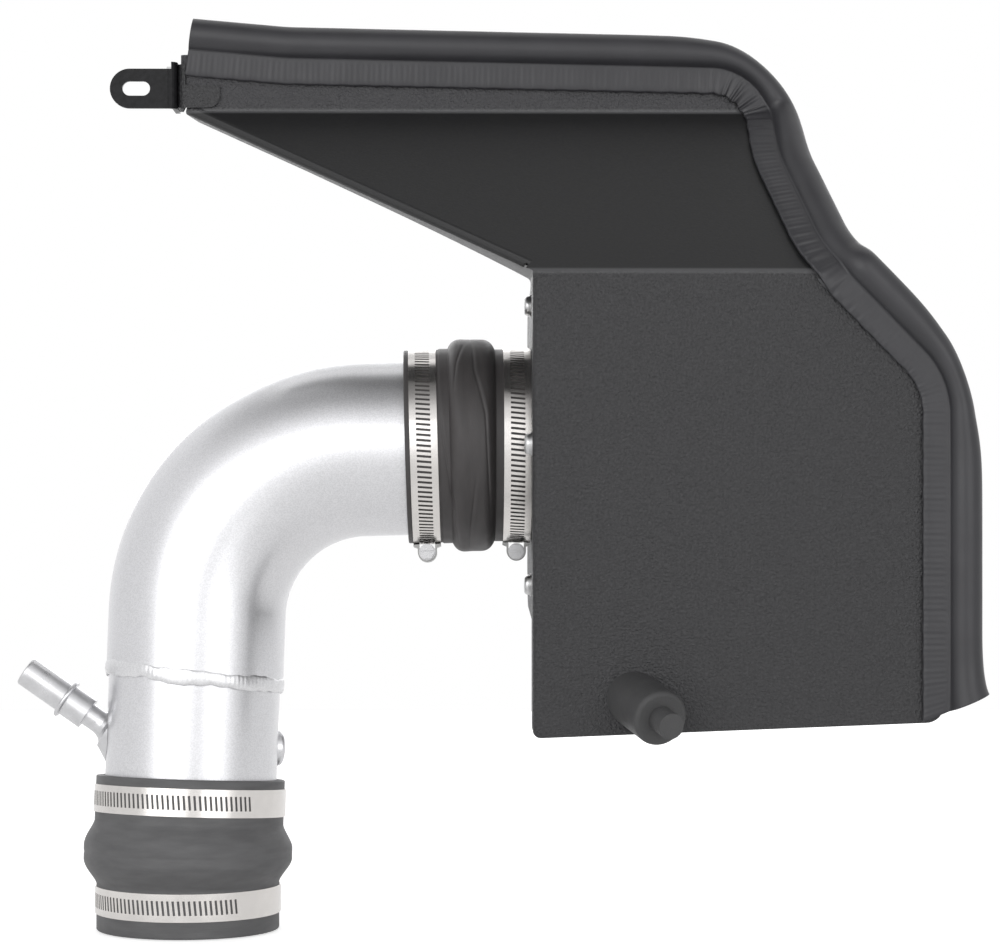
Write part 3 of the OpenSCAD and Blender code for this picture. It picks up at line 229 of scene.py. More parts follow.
class Paint:
    """Builds one procedural material on a Principled shader."""

    def __init__(self, name: str, color: Color, metallic: float, roughness: float) -> None:
        """Start a material.

        Args:
            name: Name of the finish.
            color: Base colour, linear.
            metallic: Metallic value.
            roughness: Roughness value.
        """
        self.material = bpy.data.materials.new(name)
        self.material.use_nodes = True
        self.tree = self.material.node_tree
        self.shader = self.tree.nodes["Principled BSDF"]
        self.shader.inputs["Base Color"].default_value = (*color, 1)
        self.shader.inputs["Metallic"].default_value = metallic
        self.shader.inputs["Roughness"].default_value = roughness
        self.color = color
        self.coords = self.tree.nodes.new("ShaderNodeTexCoord").outputs["Object"]
        self.normal: Socket | None = None

    def constant(self, **values: float) -> "Paint":
        """Set plain shader inputs, such as Coat_Weight=0.3."""
        for key, value in values.items():
            self.shader.inputs[key.replace("_", " ")].default_value = value
        return self

    def noise(self, scale: float, detail: float = 2.0, stretch: Color = (1, 1, 1),
              distortion: float = 0.0) -> Socket:
        """Noise over the surface.

        Args:
            scale: Noise scale in waves a metre.
            detail: Octaves.
            stretch: Scale along each axis.
            distortion: How far the noise is warped.

        Returns:
            The value output.
        """
        mapping = self.tree.nodes.new("ShaderNodeMapping")
        mapping.inputs["Scale"].default_value = stretch
        self.tree.links.new(self.coords, mapping.inputs["Vector"])
        node = self.tree.nodes.new("ShaderNodeTexNoise")
        node.inputs["Scale"].default_value = scale
        node.inputs["Detail"].default_value = detail
        node.inputs["Distortion"].default_value = distortion
        self.tree.links.new(mapping.outputs["Vector"], node.inputs["Vector"])
        return node.outputs["Fac"]

    def flakes(self, scale: float) -> Socket:
        """A different value for each tiny cell, for metal flakes."""
        node = self.tree.nodes.new("ShaderNodeTexVoronoi")
        node.inputs["Scale"].default_value = scale
        self.tree.links.new(self.coords, node.inputs["Vector"])
        split = self.tree.nodes.new("ShaderNodeSeparateColor")
        self.tree.links.new(node.outputs["Color"], split.inputs["Color"])
        return split.outputs["Red"]

    def ramp(self, value: Socket, stops: Sequence[tuple[float, Color]]) -> Socket:
        """Colour ramp.

        Args:
            value: Input value.
            stops: Position and linear colour of each stop.

        Returns:
            The colour output.
        """
        node = self.tree.nodes.new("ShaderNodeValToRGB")
        element = node.color_ramp.elements
        while len(element) < len(stops):
            element.new(0.5)
        for item, (position, color) in zip(element, stops):
            item.position = position
            item.color = (*color, 1)
        self.tree.links.new(value, node.inputs["Fac"])
        return node.outputs["Color"]

    def span(self, value: Socket, low: float, high: float,
             start: float = 0.0, end: float = 1.0) -> Socket:
        """Map a value range onto another.

        Args:
            value: Input value.
            low: Result at start.
            high: Result at end.
            start: Input that gives low.
            end: Input that gives high.

        Returns:
            The value output.
        """
        node = self.tree.nodes.new("ShaderNodeMapRange")
        node.inputs["From Min"].default_value = start
        node.inputs["From Max"].default_value = end
        node.inputs["To Min"].default_value = low
        node.inputs["To Max"].default_value = high
        self.tree.links.new(value, node.inputs["Value"])
        return node.outputs["Result"]

    def within(self, axis: str, low_mm: float, high_mm: float, soft_mm: float = 2.0) -> Socket:
        """A value that is 1 where one coordinate lies in a range and 0 outside it.

        Args:
            axis: X, Y or Z of the part's frame.
            low_mm: Lower end of the range.
            high_mm: Upper end of the range.
            soft_mm: Width of the change at each end.

        Returns:
            The value output.
        """
        split = self.tree.nodes.new("ShaderNodeSeparateXYZ")
        self.tree.links.new(self.coords, split.inputs["Vector"])
        value = split.outputs[axis]
        rise = self.span(value, 0.0, 1.0, (low_mm - soft_mm) * MM, low_mm * MM)
        fall = self.span(value, 1.0, 0.0, high_mm * MM, (high_mm + soft_mm) * MM)
        return self.times(rise, fall)

    def times(self, a: Socket, b: Socket) -> Socket:
        """Product of two values."""
        node = self.tree.nodes.new("ShaderNodeMath")
        node.operation = "MULTIPLY"
        self.tree.links.new(a, node.inputs[0])
        self.tree.links.new(b, node.inputs[1])
        return node.outputs[0]

    def tint(self, value: Socket, spread: float) -> "Paint":
        """Vary the base colour a little with a value, by the given share."""
        low = tuple(c * (1 - spread) for c in self.color)
        high = tuple(c * (1 + spread) for c in self.color)
        self.tree.links.new(self.ramp(value, [(0.2, low), (0.8, high)]), self.shader.inputs["Base Color"])
        return self

    def over(self, mask: Socket, color: Color) -> "Paint":
        """Lay another colour over the tinted base colour where a mask is 1."""
        node = self.tree.nodes.new("ShaderNodeMix")
        node.data_type = "RGBA"
        base = self.shader.inputs["Base Color"]
        self.tree.links.new(mask, node.inputs[0])
        self.tree.links.new(base.links[0].from_socket, node.inputs[6])
        node.inputs[7].default_value = (*color, 1)
        self.tree.links.new(node.outputs[2], base)
        return self

    def rough(self, value: Socket, low: float, high: float) -> "Paint":
        """Vary the roughness between two values."""
        self.tree.links.new(self.span(value, low, high, 0.25, 0.75), self.shader.inputs["Roughness"])
        return self

    def bump(self, value: Socket, depth_mm: float, strength: float = 1.0) -> "Paint":
        """Raise the surface by a value, the given depth at its highest."""
        node = self.tree.nodes.new("ShaderNodeBump")
        node.inputs["Distance"].default_value = depth_mm * MM
        node.inputs["Strength"].default_value = strength
        self.tree.links.new(value, node.inputs["Height"])
        if self.normal is not None:
            self.tree.links.new(self.normal, node.inputs["Normal"])
        self.normal = node.outputs["Normal"]
        self.tree.links.new(self.normal, self.shader.inputs["Normal"])
        return self


@dataclass(frozen=True)
class SilverPaint:
    """Fine metallic silver paint with a satin clear coat."""

    name: str = "silver_paint"
    color: Color = (0.755, 0.755, 0.77)
    flake_scale: float = 2400.0

    def build(self) -> Material:
        """Make the material."""
        p = Paint(self.name, self.color, 0.85, 0.33)
        p.constant(Coat_Weight=0.3, Coat_Roughness=0.10)
        p.tint(p.flakes(self.flake_scale), 0.07)
        p.rough(p.noise(22), 0.30, 0.37)
        p.bump(p.noise(1500, 1), 0.008)
        p.bump(p.noise(24, 2), 0.05, 0.4)
        return p.material


@dataclass(frozen=True)
class Machined:
    """Turned or drawn bare metal."""

    name: str
    color: Color
    roughness: float = 0.28
    metallic: float = 1.0

    def build(self) -> Material:
        """Make the material."""
        p = Paint(self.name, self.color, self.metallic, self.roughness)
        p.tint(p.noise(160, 3), 0.10)
        p.rough(p.noise(90, 3), self.roughness * 0.8, self.roughness * 1.3)
        p.bump(p.noise(900, 2, (1, 1, 4)), 0.008)
        return p.material


@dataclass(frozen=True)
class Strip:
    """Bright stainless strip of the clamp bands, rolled and a little worn."""

    color: Color = (0.74, 0.715, 0.69)

    def build(self) -> Material:
        """Make the material."""
        p = Paint("stainless_strip", self.color, 1.0, 0.22)
        p.tint(p.noise(60, 2), 0.07)
        p.rough(p.noise(140, 3), 0.17, 0.27)
        p.bump(p.noise(45, 2), 0.05, 0.5)
        return p.material


@dataclass(frozen=True)
class PowderCoat:
    """Black powder coat; the slanted panel came out smoother than the rest. On the shield the colour holds
    painted light: the slanted panel darker as shade, the strip above it lighter, and a paler highlight along
    each fold.
    """

    name: str
    color: Color = (0.0245, 0.0243, 0.0262)
    grain: float = 820.0
    depth_mm: float = 0.85
    roughness: float = 0.42
    specular: float = 0.5
    smooth_from: float = 337.5
    smooth_to: float = 424.0
    folds: tuple[float, ...] = ()
    # Painted highlight: a paler colour along each fold stands in for the light that the bends catch.
    painted_fold_highlight: Color = (0.085, 0.085, 0.088)
    # Painted shade: the slanted panel's darker colour stands in for the dim ceiling it faces.
    slanted: Color = (0.012, 0.012, 0.0125)
    # Painted light: the strip above the slanted panel is painted lighter than the rest of the sheet.
    painted_light_upper: Color = (0.036, 0.0355, 0.039)

    def build(self) -> Material:
        """Make the material."""
        p = Paint(self.name, self.color, 0.0, self.roughness)
        p.constant(Specular_IOR_Level=self.specular)
        slant = p.within("Z", self.smooth_from, self.smooth_to)
        rest = p.span(slant, 1.0, 0.06)
        p.tint(p.noise(self.grain * 0.9, 2), 0.6)
        if self.folds:
            # Painted shade: the slanted panel painted darker.
            p.over(slant, self.slanted)
            # Painted light: the strip above the slanted panel painted lighter.
            p.over(p.within("Z", self.smooth_to + 3, self.smooth_to + 60), self.painted_light_upper)
        # Painted highlight along each fold.
        for fold in self.folds:
            p.over(p.within("Z", fold - 0.7, fold + 0.7, 1.0), self.painted_fold_highlight)
        p.rough(p.noise(self.grain * 0.7, 2), self.roughness - 0.05, self.roughness + 0.08)
        p.bump(p.times(p.noise(self.grain, 2, distortion=0.4), rest), self.depth_mm)
        p.bump(p.noise(9, 2), 0.5, 0.25)
        return p.material


@dataclass(frozen=True)
class Rubber:
    """Moulded or extruded black rubber."""

    name: str
    color: Color
    roughness: float = 0.5
    grain_mm: float = 0.05
    crease_mm: float = 0.0
    crease_stretch: Color = (1, 1, 1)
    scuff: float = 0.18

    def build(self) -> Material:
        """Make the material."""
        p = Paint(self.name, self.color, 0.0, self.roughness)
        p.constant(Specular_IOR_Level=0.45)
        p.tint(p.noise(60, 5, self.crease_stretch), self.scuff)
        p.rough(p.noise(70, 3), self.roughness - 0.07, self.roughness + 0.09)
        p.bump(p.noise(1600, 2), self.grain_mm)
        if self.crease_mm:
            p.bump(p.noise(110, 4, self.crease_stretch, 0.8), self.crease_mm, 0.8)
        return p.material


@dataclass(frozen=True)
class TrimRubber:
    """Satin rubber of the edge trim; the grip shows the clips of its steel core."""

    color: Color = (0.036, 0.0355, 0.0395)
    clip_pitch_mm: float = 2.9
    bulb_from: float = 0.375
    bulb_to: float = 0.860
    ease: float = 0.02

    def build(self) -> Material:
        """Make the material."""
        p = Paint("trim_rubber", self.color, 0.0, 0.40)
        p.constant(Specular_IOR_Level=0.5)
        p.tint(p.noise(50, 3), 0.15)
        p.rough(p.noise(60, 3), 0.34, 0.46)
        p.bump(p.noise(1300, 2), 0.03)
        p.bump(p.noise(55, 3, distortion=0.8), 0.30, 0.5)
        seam = p.tree.nodes.new("ShaderNodeUVMap")
        seam.uv_map = "run"
        wave = p.tree.nodes.new("ShaderNodeTexWave")
        wave.bands_direction = "X"
        wave.inputs["Scale"].default_value = 2 * math.pi / (20 * self.clip_pitch_mm * MM)
        wave.inputs["Distortion"].default_value = 0.25
        p.tree.links.new(seam.outputs["UV"], wave.inputs["Vector"])
        split = p.tree.nodes.new("ShaderNodeSeparateXYZ")
        p.tree.links.new(seam.outputs["UV"], split.inputs["Vector"])
        on, off, ease = (1, 1, 1), (0, 0, 0), self.ease
        grip = p.ramp(split.outputs["Y"], [(0.0, on), (self.bulb_from - ease, on), (self.bulb_from, off),
                                           (self.bulb_to, off), (self.bulb_to + ease, on)])
        p.bump(p.times(wave.outputs["Fac"], grip), 0.11, 0.6)
        return p.material


@dataclass(frozen=True)
class Gauze:
    """Oiled cotton gauze of the filter under a wire mesh."""

    color: Color = (0.36, 0.028, 0.028)

    def build(self) -> Material:
        """Make the material."""
        p = Paint("filter_gauze", self.color, 0.0, 0.8)
        p.constant(Sheen_Weight=0.2)
        p.tint(p.noise(60, 3), 0.25)
        wave = p.tree.nodes.new("ShaderNodeTexWave")
        wave.inputs["Scale"].default_value = 300
        p.tree.links.new(p.coords, wave.inputs["Vector"])
        p.bump(wave.outputs["Fac"], 0.15)
        p.bump(p.noise(900, 2), 0.1)
        return p.material


# The tube and its place

@dataclass
class TubeLine:
    """Centreline of the tube and of both couplers, in the row frame."""

    hump_z: float = 39.5
    lean: tuple[float, float, float] = (-3.5, 1.9, -0.5)
    bend_radius: float = 88.9
    bend_angle: float = 86.5
    bend_start: float = 163.5
    leg: float = 57.0
    rotation: Array = field(init=False)
    hub: Array = field(init=False)

    def __post_init__(self) -> None:
        """Work out the turn of the tube and the middle of the filter coupler."""
        x, y, z = self.lean
        self.rotation = turn_about(2, z) @ turn_about(1, y) @ turn_about(0, x)
        self.hub = self.at(np.array([self.length]))[0][0]

    @property
    def bend_end(self) -> float:
        """Run of the centreline from the engine end to the end of the bend, in mm."""
        return self.bend_start + self.bend_radius * math.radians(self.bend_angle)

    @property
    def length(self) -> float:
        """Run of the centreline from the engine end to the filter coupler, in mm."""
        return self.bend_end + self.leg

    def at(self, run: Array) -> tuple[Array, Array, Array, Array]:
        """Points and frames along the tube.

        Args:
            run: Distances along the centreline from the engine end, in mm.

        Returns:
            Centres, first and second cross directions and tangents, in mm.
        """
        run = np.asarray(run, float)
        turn = np.clip((run - self.bend_start) / self.bend_radius, 0, math.radians(self.bend_angle))
        past = np.maximum(run - self.bend_start - self.bend_radius * math.radians(self.bend_angle), 0)
        before = np.minimum(run, self.bend_start)
        sin, cos = np.sin(turn), np.cos(turn)
        zero = np.zeros_like(run)
        across = self.bend_radius * (1 - cos) + past * sin
        p = np.stack([across, zero, before + self.bend_radius * sin + past * cos], 1)
        t = np.stack([sin, zero, cos], 1)
        u = np.stack([cos, zero, -sin], 1)
        v = np.stack([zero, zero + 1, zero], 1)
        p = (p - [0, 0, self.hump_z]) @ self.rotation.T + [0, 0, self.hump_z]
        return p, u @ self.rotation.T, v @ self.rotation.T, t @ self.rotation.T


@dataclass
class Pipe:
    """Bent metal tube with its weld, the lower tube, the vent nipple and the sensor bung."""

    line: TubeLine
    outer_r: float = 46.0
    wall: float = 1.5
    joint: float = 130.0
    joint_slant: float = 3.6
    tail: float = 45.0
    bead_r: float = 0.95
    bead_w: float = 7.8
    bead_sink: float = 0.40
    bead_steps: tuple[int, int] = (640, 18)
    bead_sway: tuple[Wave, ...] = ((0.30, 9, 1.0), (0.15, 23, 0.0))
    bead_ripple: tuple[Wave, ...] = ((0.05, 118, 0.0), (0.07, 13, 2.0), (0.05, 41, 0.0))
    bead_spread: tuple[Wave, ...] = ((0.10, 7, 0.4), (0.06, 31, 1.1))
    around: int = 144

    def tube(self, material: Material) -> None:
        """Build the bent tube with its slanted lower end.

        Args:
            material: Its paint.
        """
        run = np.concatenate([np.linspace(self.joint, self.line.bend_start, 12)[:-1],
                              np.linspace(self.line.bend_start, self.line.bend_end + self.tail, 120)])
        c, u, v, t = self.line.at(run)
        rows = []
        for r, order in ((self.outer_r, slice(None)), (self.outer_r - self.wall, slice(None, None, -1))):
            ring = circle_rows(c, u, v, np.full(len(run), r), self.around)
            slant = (ring - c[:, None, :]) @ u[0] * -math.tan(math.radians(self.joint_slant))
            fade = np.clip((self.line.bend_start - run) / (self.line.bend_start - self.joint), 0, 1)
            ring = ring + (slant * fade[:, None])[:, :, None] * t[0]
            rows.append(ring[order])
        obj = grid_object("bent_tube", np.concatenate(rows) * MM, Caps.WRAP)
        place(obj, material, "pipe_silver", "intake_elbow")

    def weld(self, material: Material) -> None:
        """Build the hand-laid weld bead between the two tubes.

        Args:
            material: Its paint.
        """
        count, sides = self.bead_steps
        a = np.linspace(0, 2 * math.pi, count, endpoint=False)
        c, u, v, t = self.line.at(np.array([self.joint]))
        out = np.cos(a)[:, None] * u[0] + np.sin(a)[:, None] * v[0]
        drop = -math.tan(math.radians(self.joint_slant)) * self.outer_r * np.cos(a)
        drop += 1.2 * smooth_step((-0.35 - np.cos(a)) * 6) * (np.sin(a) < 0)
        drop += waves(a, self.bead_sway)
        center = c[0] + out * (self.outer_r - self.bead_sink) + drop[:, None] * t[0]
        ripple = 1 + waves(a, self.bead_ripple)
        width = 1 + waves(a, self.bead_spread)
        b = np.linspace(0, 2 * math.pi, sides, endpoint=False)
        lift = (self.bead_r * ripple)[:, None] * np.cos(b)
        along = (self.bead_w / 2 * width)[:, None] * np.sin(b)
        rows = center[:, None, :] + lift[:, :, None] * out[:, None, :] + along[:, :, None] * t[0]
        obj = grid_object("weld_bead", rows * MM, Caps.WRAP)
        place(obj, material, "pipe_silver")

    def build(self, silver: Material, weld: Material, nipple: Material,
              bung: Material) -> None:
        """Build and dress every piece of the pipe.

        Args:
            silver: Paint of both tubes.
            weld: Paint of the weld bead.
            nipple: Finish of the vent nipple.
            bung: Finish of the plug in the sensor bung.
        """
        self.tube(silver)
        self.weld(weld)
        dress("lower_tube", silver)
        dress("vent_nipple", nipple)
        dress("sensor_bung", silver)
        dress("bung_plug", bung)


@dataclass
class Coupler:
    """Rubber coupler with one hump, bent between the axes of its two ends."""

    name: str
    slot: str
    center: Array
    low_axis: Array
    high_axis: Array
    low_bore: float
    high_bore: float
    low_reach: float
    high_reach: float
    hump_od: float
    hump_w: float
    wall: float = 4.3
    lip: float = 0.8
    shape: tuple[float, float] = (1.7, 1.6)
    flat: float = 3.3
    step_mm: float = 0.0
    crease_mm: float = 0.0
    creases: tuple[Crease, ...] = ()
    around: int = 240

    def profile(self, z: Array) -> Array:
        """Bore radius along the coupler.

        Args:
            z: Distance from the middle of the hump, in mm.

        Returns:
            Radius of the inner face.
        """
        base = np.where(z < 0, self.low_bore, self.high_bore) / 2
        rise = self.hump_od / 2 - self.wall - base
        share = np.clip((np.abs(z) - self.flat) / (self.hump_w / 2 - self.flat), 0, 1)
        return base + rise * (1 - share ** self.shape[0]) ** self.shape[1]

    def build(self, material: Material) -> None:
        """Build the coupler.

        Args:
            material: Its rubber.
        """
        foot = self.hump_w / 2
        end = np.array([0, 0.06, 0.15, 0.28, 0.45, 0.7, 1.0]) * self.lip
        z = np.concatenate([-self.low_reach + end, np.linspace(-self.low_reach + 1.5, -foot - 6, 12),
                            np.linspace(-foot - 5.6, -foot, 16)[:-1],
                            -foot * np.cos(np.linspace(0, math.pi, 90)),
                            np.linspace(foot, self.high_reach - 1.5, 22)[1:], self.high_reach - end[::-1]])
        inner = self.profile(z)
        end = np.minimum(z + self.low_reach, self.high_reach - z)
        shoulder = smooth_step((z + foot + 5.4) / 0.8) * smooth_step(-z / foot) * self.step_mm
        edge = 1 - np.clip(end / self.lip, 0, 1)
        outer = inner + self.wall + shoulder - self.lip * (1 - np.sqrt(np.clip(1 - edge ** 2, 0, 1)))
        blend = smooth_step((z / (self.hump_w * 0.7)) + 0.5)
        axis = unit((1 - blend)[:, None] * self.low_axis + blend[:, None] * self.high_axis)
        step = np.diff(z, prepend=z[0])
        centers = np.cumsum(axis * step[:, None], axis=0)
        zero = int(np.argmin(np.abs(z)))
        centers = centers - centers[zero] - axis[zero] * -z[zero] + self.center
        side = unit(np.cross(axis, np.array([0.31, -0.95, 0.02])))
        up = np.cross(axis, side)
        rings = []
        for radii, order in ((outer, slice(None)), (inner, slice(None, None, -1))):
            rings.append(circle_rows(centers, side, up, radii, self.around)[order])
        rows = np.concatenate(rings)
        if self.creases:
            rows[:len(z)] = self.creased(rows[:len(z)], centers, z)
        obj = grid_object(self.name + "_rubber", rows * MM, Caps.WRAP)
        place(obj, material, self.slot, self.name)

    def creased(self, rings: Array, centers: Array, z: Array) -> Array:
        """Press narrow slanted creases into the outside.

        Args:
            rings: Outer rings.
            centers: Ring centres.
            z: Distance of each ring from the middle.

        Returns:
            The creased rings.
        """
        a = np.linspace(0, 360, self.around, endpoint=False)
        depth = np.zeros((len(z), self.around))
        for crease in self.creases:
            angle, place_mm = np.array(crease, float).T
            for turn in (-360, 0, 360):
                middle = np.interp(a + turn, angle, place_mm)
                span = angle[-1] - angle[0]
                start = np.clip(4 * (a + turn - angle[0]) / span, 0, 1)
                near = start * np.clip(4 * (angle[-1] - a - turn) / span, 0, 1)
                off = z[:, None] - middle[None, :]
                groove = np.exp(-(off / 0.45) ** 2) + 0.35 * np.exp(-(off / 1.6) ** 2)
                groove -= 0.45 * np.exp(-((off - 1.5) / 0.9) ** 2)
                depth += near[None, :] * groove
        out = unit(rings - centers[:, None, :])
        return rings - out * (depth * self.crease_mm)[:, :, None]


@dataclass
class Trim:
    """Bulb edge trim: a hollow bulb on a grip that follows the edge of the shield."""

    hub: Array
    side_x: float = 29.4
    left: float = 181.5
    right: float = 208.0
    fold_low: float = 86.4
    fold_high: float = 174.4
    front: float = 85.0
    setback: float = 80.0
    sheet: float = 1.6
    bulb_r: float = 8.7
    bulb_wall: float = 2.2
    grip_depth: float = 13.6
    grip_t: float = 7.2
    sides: int = 40
    grip_points: int = 11
    spacing: float = 1.0
    blend_points: int = 19
    top_right: float = 196.4
    top_left: float = 206.0
    bottom: float = 139.0
    pinch_run: float = 24.0
    pinch_share: float = 0.30
    flare_run: float = 44.0
    flare_share: float = 0.20
    foot_slant: float = 0.42
    left_slant: float = 0.06
    left_run: float = 10.0
    wrinkles: tuple[Wave, ...] = ((1.0, 1.15, 0.0), (0.7, 1.83, 1.3), (0.4, 0.41, 0.0))

    def corners(self) -> tuple[list[Array], list[float]]:
        """Corner points of the edge and their radii, seen from the front."""
        left = self.side_x - self.left
        corner = self.side_x + 127
        right = self.side_x + self.right
        points = [(left + 3.5, self.top_left), (left + 55, self.top_left - 4.5), (corner - 2, self.top_right),
                  (corner + 1, self.top_right - 49), (corner + 19, self.fold_low + 10),
                  (right, self.fold_low - 53), (right, -self.bottom)]
        return [np.array(p, float) for p in points], [0, 150, 32, 60, 50, 45, 0]

    def line(self) -> Array:
        """Edge line seen from the front, at even spacing, as x and z."""
        points, radii = self.corners()
        out = [points[0]]
        for a, p, b, r in zip(points, points[1:], points[2:], radii[1:]):
            d1, d2 = unit(p - a), unit(b - p)
            w = math.atan2(d1[0] * d2[1] - d1[1] * d2[0], float(d1 @ d2))
            back = r * math.tan(abs(w) / 2)
            left = np.array([-d1[1], d1[0]]) * np.sign(w)
            c = p - d1 * back + left * r
            for k in np.linspace(0, w, 24):
                m = np.array([[math.cos(k), -math.sin(k)], [math.sin(k), math.cos(k)]])
                out.append(c - m @ left * r)
        out.append(points[-1])
        p = np.array(out)
        run = np.concatenate([[0], np.cumsum(np.linalg.norm(np.diff(p, axis=0), axis=1))])
        even = np.linspace(0, run[-1], int(run[-1] / self.spacing))
        return np.stack([np.interp(even, run, p[:, 0]), np.interp(even, run, p[:, 1])], 1)

    def rows(self) -> tuple[Array, Array, Array, Array, Array]:
        """Centres and frames along the edge.

        Returns:
            Points, outward, front and run directions, and the run in mm.
        """
        flat = self.line()
        z = flat[:, 1]
        share = (z - self.fold_low) / (self.fold_high - self.fold_low)
        depth = -self.front + self.setback * np.clip(share, 0, 1) + self.sheet / 2
        kernel = np.hanning(self.blend_points) / np.hanning(self.blend_points).sum()
        pad = self.blend_points // 2
        depth = np.convolve(np.pad(depth, pad, mode="edge"), kernel, mode="valid")
        p = np.stack([flat[:, 0], depth, flat[:, 1]], 1)
        d = unit(np.gradient(p, axis=0))
        rise = np.where((z > self.fold_low + 1) & (z < self.fold_high - 1),
                        self.setback / (self.fold_high - self.fold_low), 0.0)
        rise = np.convolve(np.pad(rise, pad, mode="edge"), kernel, mode="valid")
        n = unit(np.stack([np.zeros(len(z)), -np.ones(len(z)), rise], 1))
        out = unit(np.cross(n, d))
        face = unit(np.cross(d, out))
        run = np.concatenate([[0], np.cumsum(np.linalg.norm(np.diff(p, axis=0), axis=1))])
        return p, out, face, d, run

    def section(self) -> Array:
        """Closed outline of grip and bulb, with the sheet's slot, outward and front."""
        g, h = self.grip_depth, self.grip_t / 2
        slot, foot, lip = self.sheet / 2 + 0.25, 2.1, 0.4
        gap = math.asin(h / self.bulb_r * 0.95)
        a = np.linspace(-math.pi + gap, math.pi - gap, self.sides)
        arc = np.stack([self.bulb_r * (0.92 + np.cos(a)), self.bulb_r * np.sin(a)], 1)
        half = [(-0.8, h - 0.05), (-2.2, h - 0.1), (-g + 8, h), (-g + 4, h + 0.1), (-g + 1.1, h),
                (-g + 0.4, h - 0.3), (-g, h - 1.0)]
        lower = [(-g + lip, slot), (-foot, slot), (-foot, -slot), (-g + lip, -slot)]
        lower += [(x, -y) for x, y in reversed(half)]
        return np.concatenate([np.array(lower), arc, np.array(half)])

    def swell(self, run: Array) -> tuple[Array, Array]:
        """How full the bulb is along the edge, and how open its foot.

        Args:
            run: Distance along the trim, in mm.

        Returns:
            Size of the bulb as a share of its own, and the share of the flare at the foot.
        """
        points, _ = self.corners()
        flat = self.line()
        narrow = np.zeros(len(flat))
        for middle in (points[2] - [8, 8], points[5] - [5, 5]):
            away = np.linalg.norm(flat - middle, axis=1) / self.pinch_run
            narrow = np.maximum(narrow, np.exp(-away ** 2))
        flare = np.clip(1 - (run[-1] - run) / self.flare_run, 0, 1) ** 2
        return 1 - self.pinch_share * narrow + self.flare_share * flare, flare

    def build(self, material: Material, cut: Material) -> None:
        """Build the trim.

        Args:
            material: Its rubber.
            cut: The paler rubber of its cut ends.
        """
        p, out, face, d, run = self.rows()
        sec = self.section()
        bulb = slice(self.grip_points, self.grip_points + self.sides)
        swell, flare = self.swell(run)
        s0 = np.repeat(sec[None, :, 0], len(p), 0)
        s1 = np.repeat(sec[None, :, 1], len(p), 0)
        inside = self.bulb_r * (0.92 - 1)
        s0[:, bulb] = inside + (s0[:, bulb] - inside) * swell[:, None]
        s1[:, bulb] *= np.maximum(swell, 1)[:, None]
        slant = self.left_slant * np.clip(1 - run / self.left_run, 0, 1) - self.foot_slant * flare
        lift = slant[:, None] * (s0 + self.grip_depth)
        rows = (p[:, None, :] + s0[:, :, None] * out[:, None, :] + s1[:, :, None] * face[:, None, :]
                + lift[:, :, None] * d[:, None, :])
        rows = self.wrinkled(rows, s0, s1, run)
        side = np.linalg.norm(np.diff(np.vstack([sec, sec[:1]]), axis=0), axis=1)
        girth = np.concatenate([[0], np.cumsum(side)])
        obj = grid_object("bulb_trim", (rows + self.hub) * MM, Caps.OPEN, (run * MM, girth / girth[-1]))
        around = np.linspace(0, 2 * math.pi, self.sides, endpoint=False)
        bore_r = self.bulb_r * swell - self.bulb_wall
        b0 = inside + self.bulb_r * swell[:, None] + bore_r[:, None] * np.cos(around)
        b1 = (self.bulb_r * np.maximum(swell, 1) - self.bulb_wall)[:, None] * np.sin(around)
        lift = slant[:, None] * (b0 + self.grip_depth)
        bore = (p[:, None, :] + b0[:, :, None] * out[:, None, :] + b1[:, :, None] * face[:, None, :]
                + lift[:, :, None] * d[:, None, :])
        self.join_bore(obj, (bore + self.hub) * MM)
        place(obj, material, "trim_rubber", "edge_trim")
        obj.data.materials.append(cut)

    def wrinkled(self, rows: Array, s0: Array, s1: Array, run: Array) -> Array:
        """Crowd small wrinkles into the grip where the edge turns tightly.

        Args:
            rows: Rings of the trim.
            s0: Outward place of each point in the section.
            s1: Front place of each point in the section.
            run: Distance along the trim.

        Returns:
            The rows with wrinkles.
        """
        points, _ = self.corners()
        p = rows.mean(axis=1)
        tight = np.exp(-((p[:, 0] - points[2][0] + 8) ** 2 + (p[:, 2] - points[2][1] + 8) ** 2) / 24 ** 2)
        low = np.exp(-((p[:, 0] - points[4][0] - 8) ** 2 + (p[:, 2] - points[4][1] + 6) ** 2) / 22 ** 2)
        wave = waves(run, self.wrinkles)
        inner = np.clip((1.0 - s0) / 8, 0, 1) * (np.abs(s1) > 1.5)
        lift = (0.62 * tight + 0.25 * low + 0.05)[:, None] * wave[:, None] * inner
        _, out, face, _, _ = self.rows()
        rows = rows + (lift * np.sign(s1))[:, :, None] * face[:, None, :]
        edge = np.clip((-self.grip_depth + 3 - s0) / 3, 0, 1) * (np.abs(s1) > 1.5)
        sway = (0.5 * tight + 0.12)[:, None] * np.sin(run * 0.55 + 0.8)[:, None] * edge
        return rows + sway[:, :, None] * out[:, None, :]

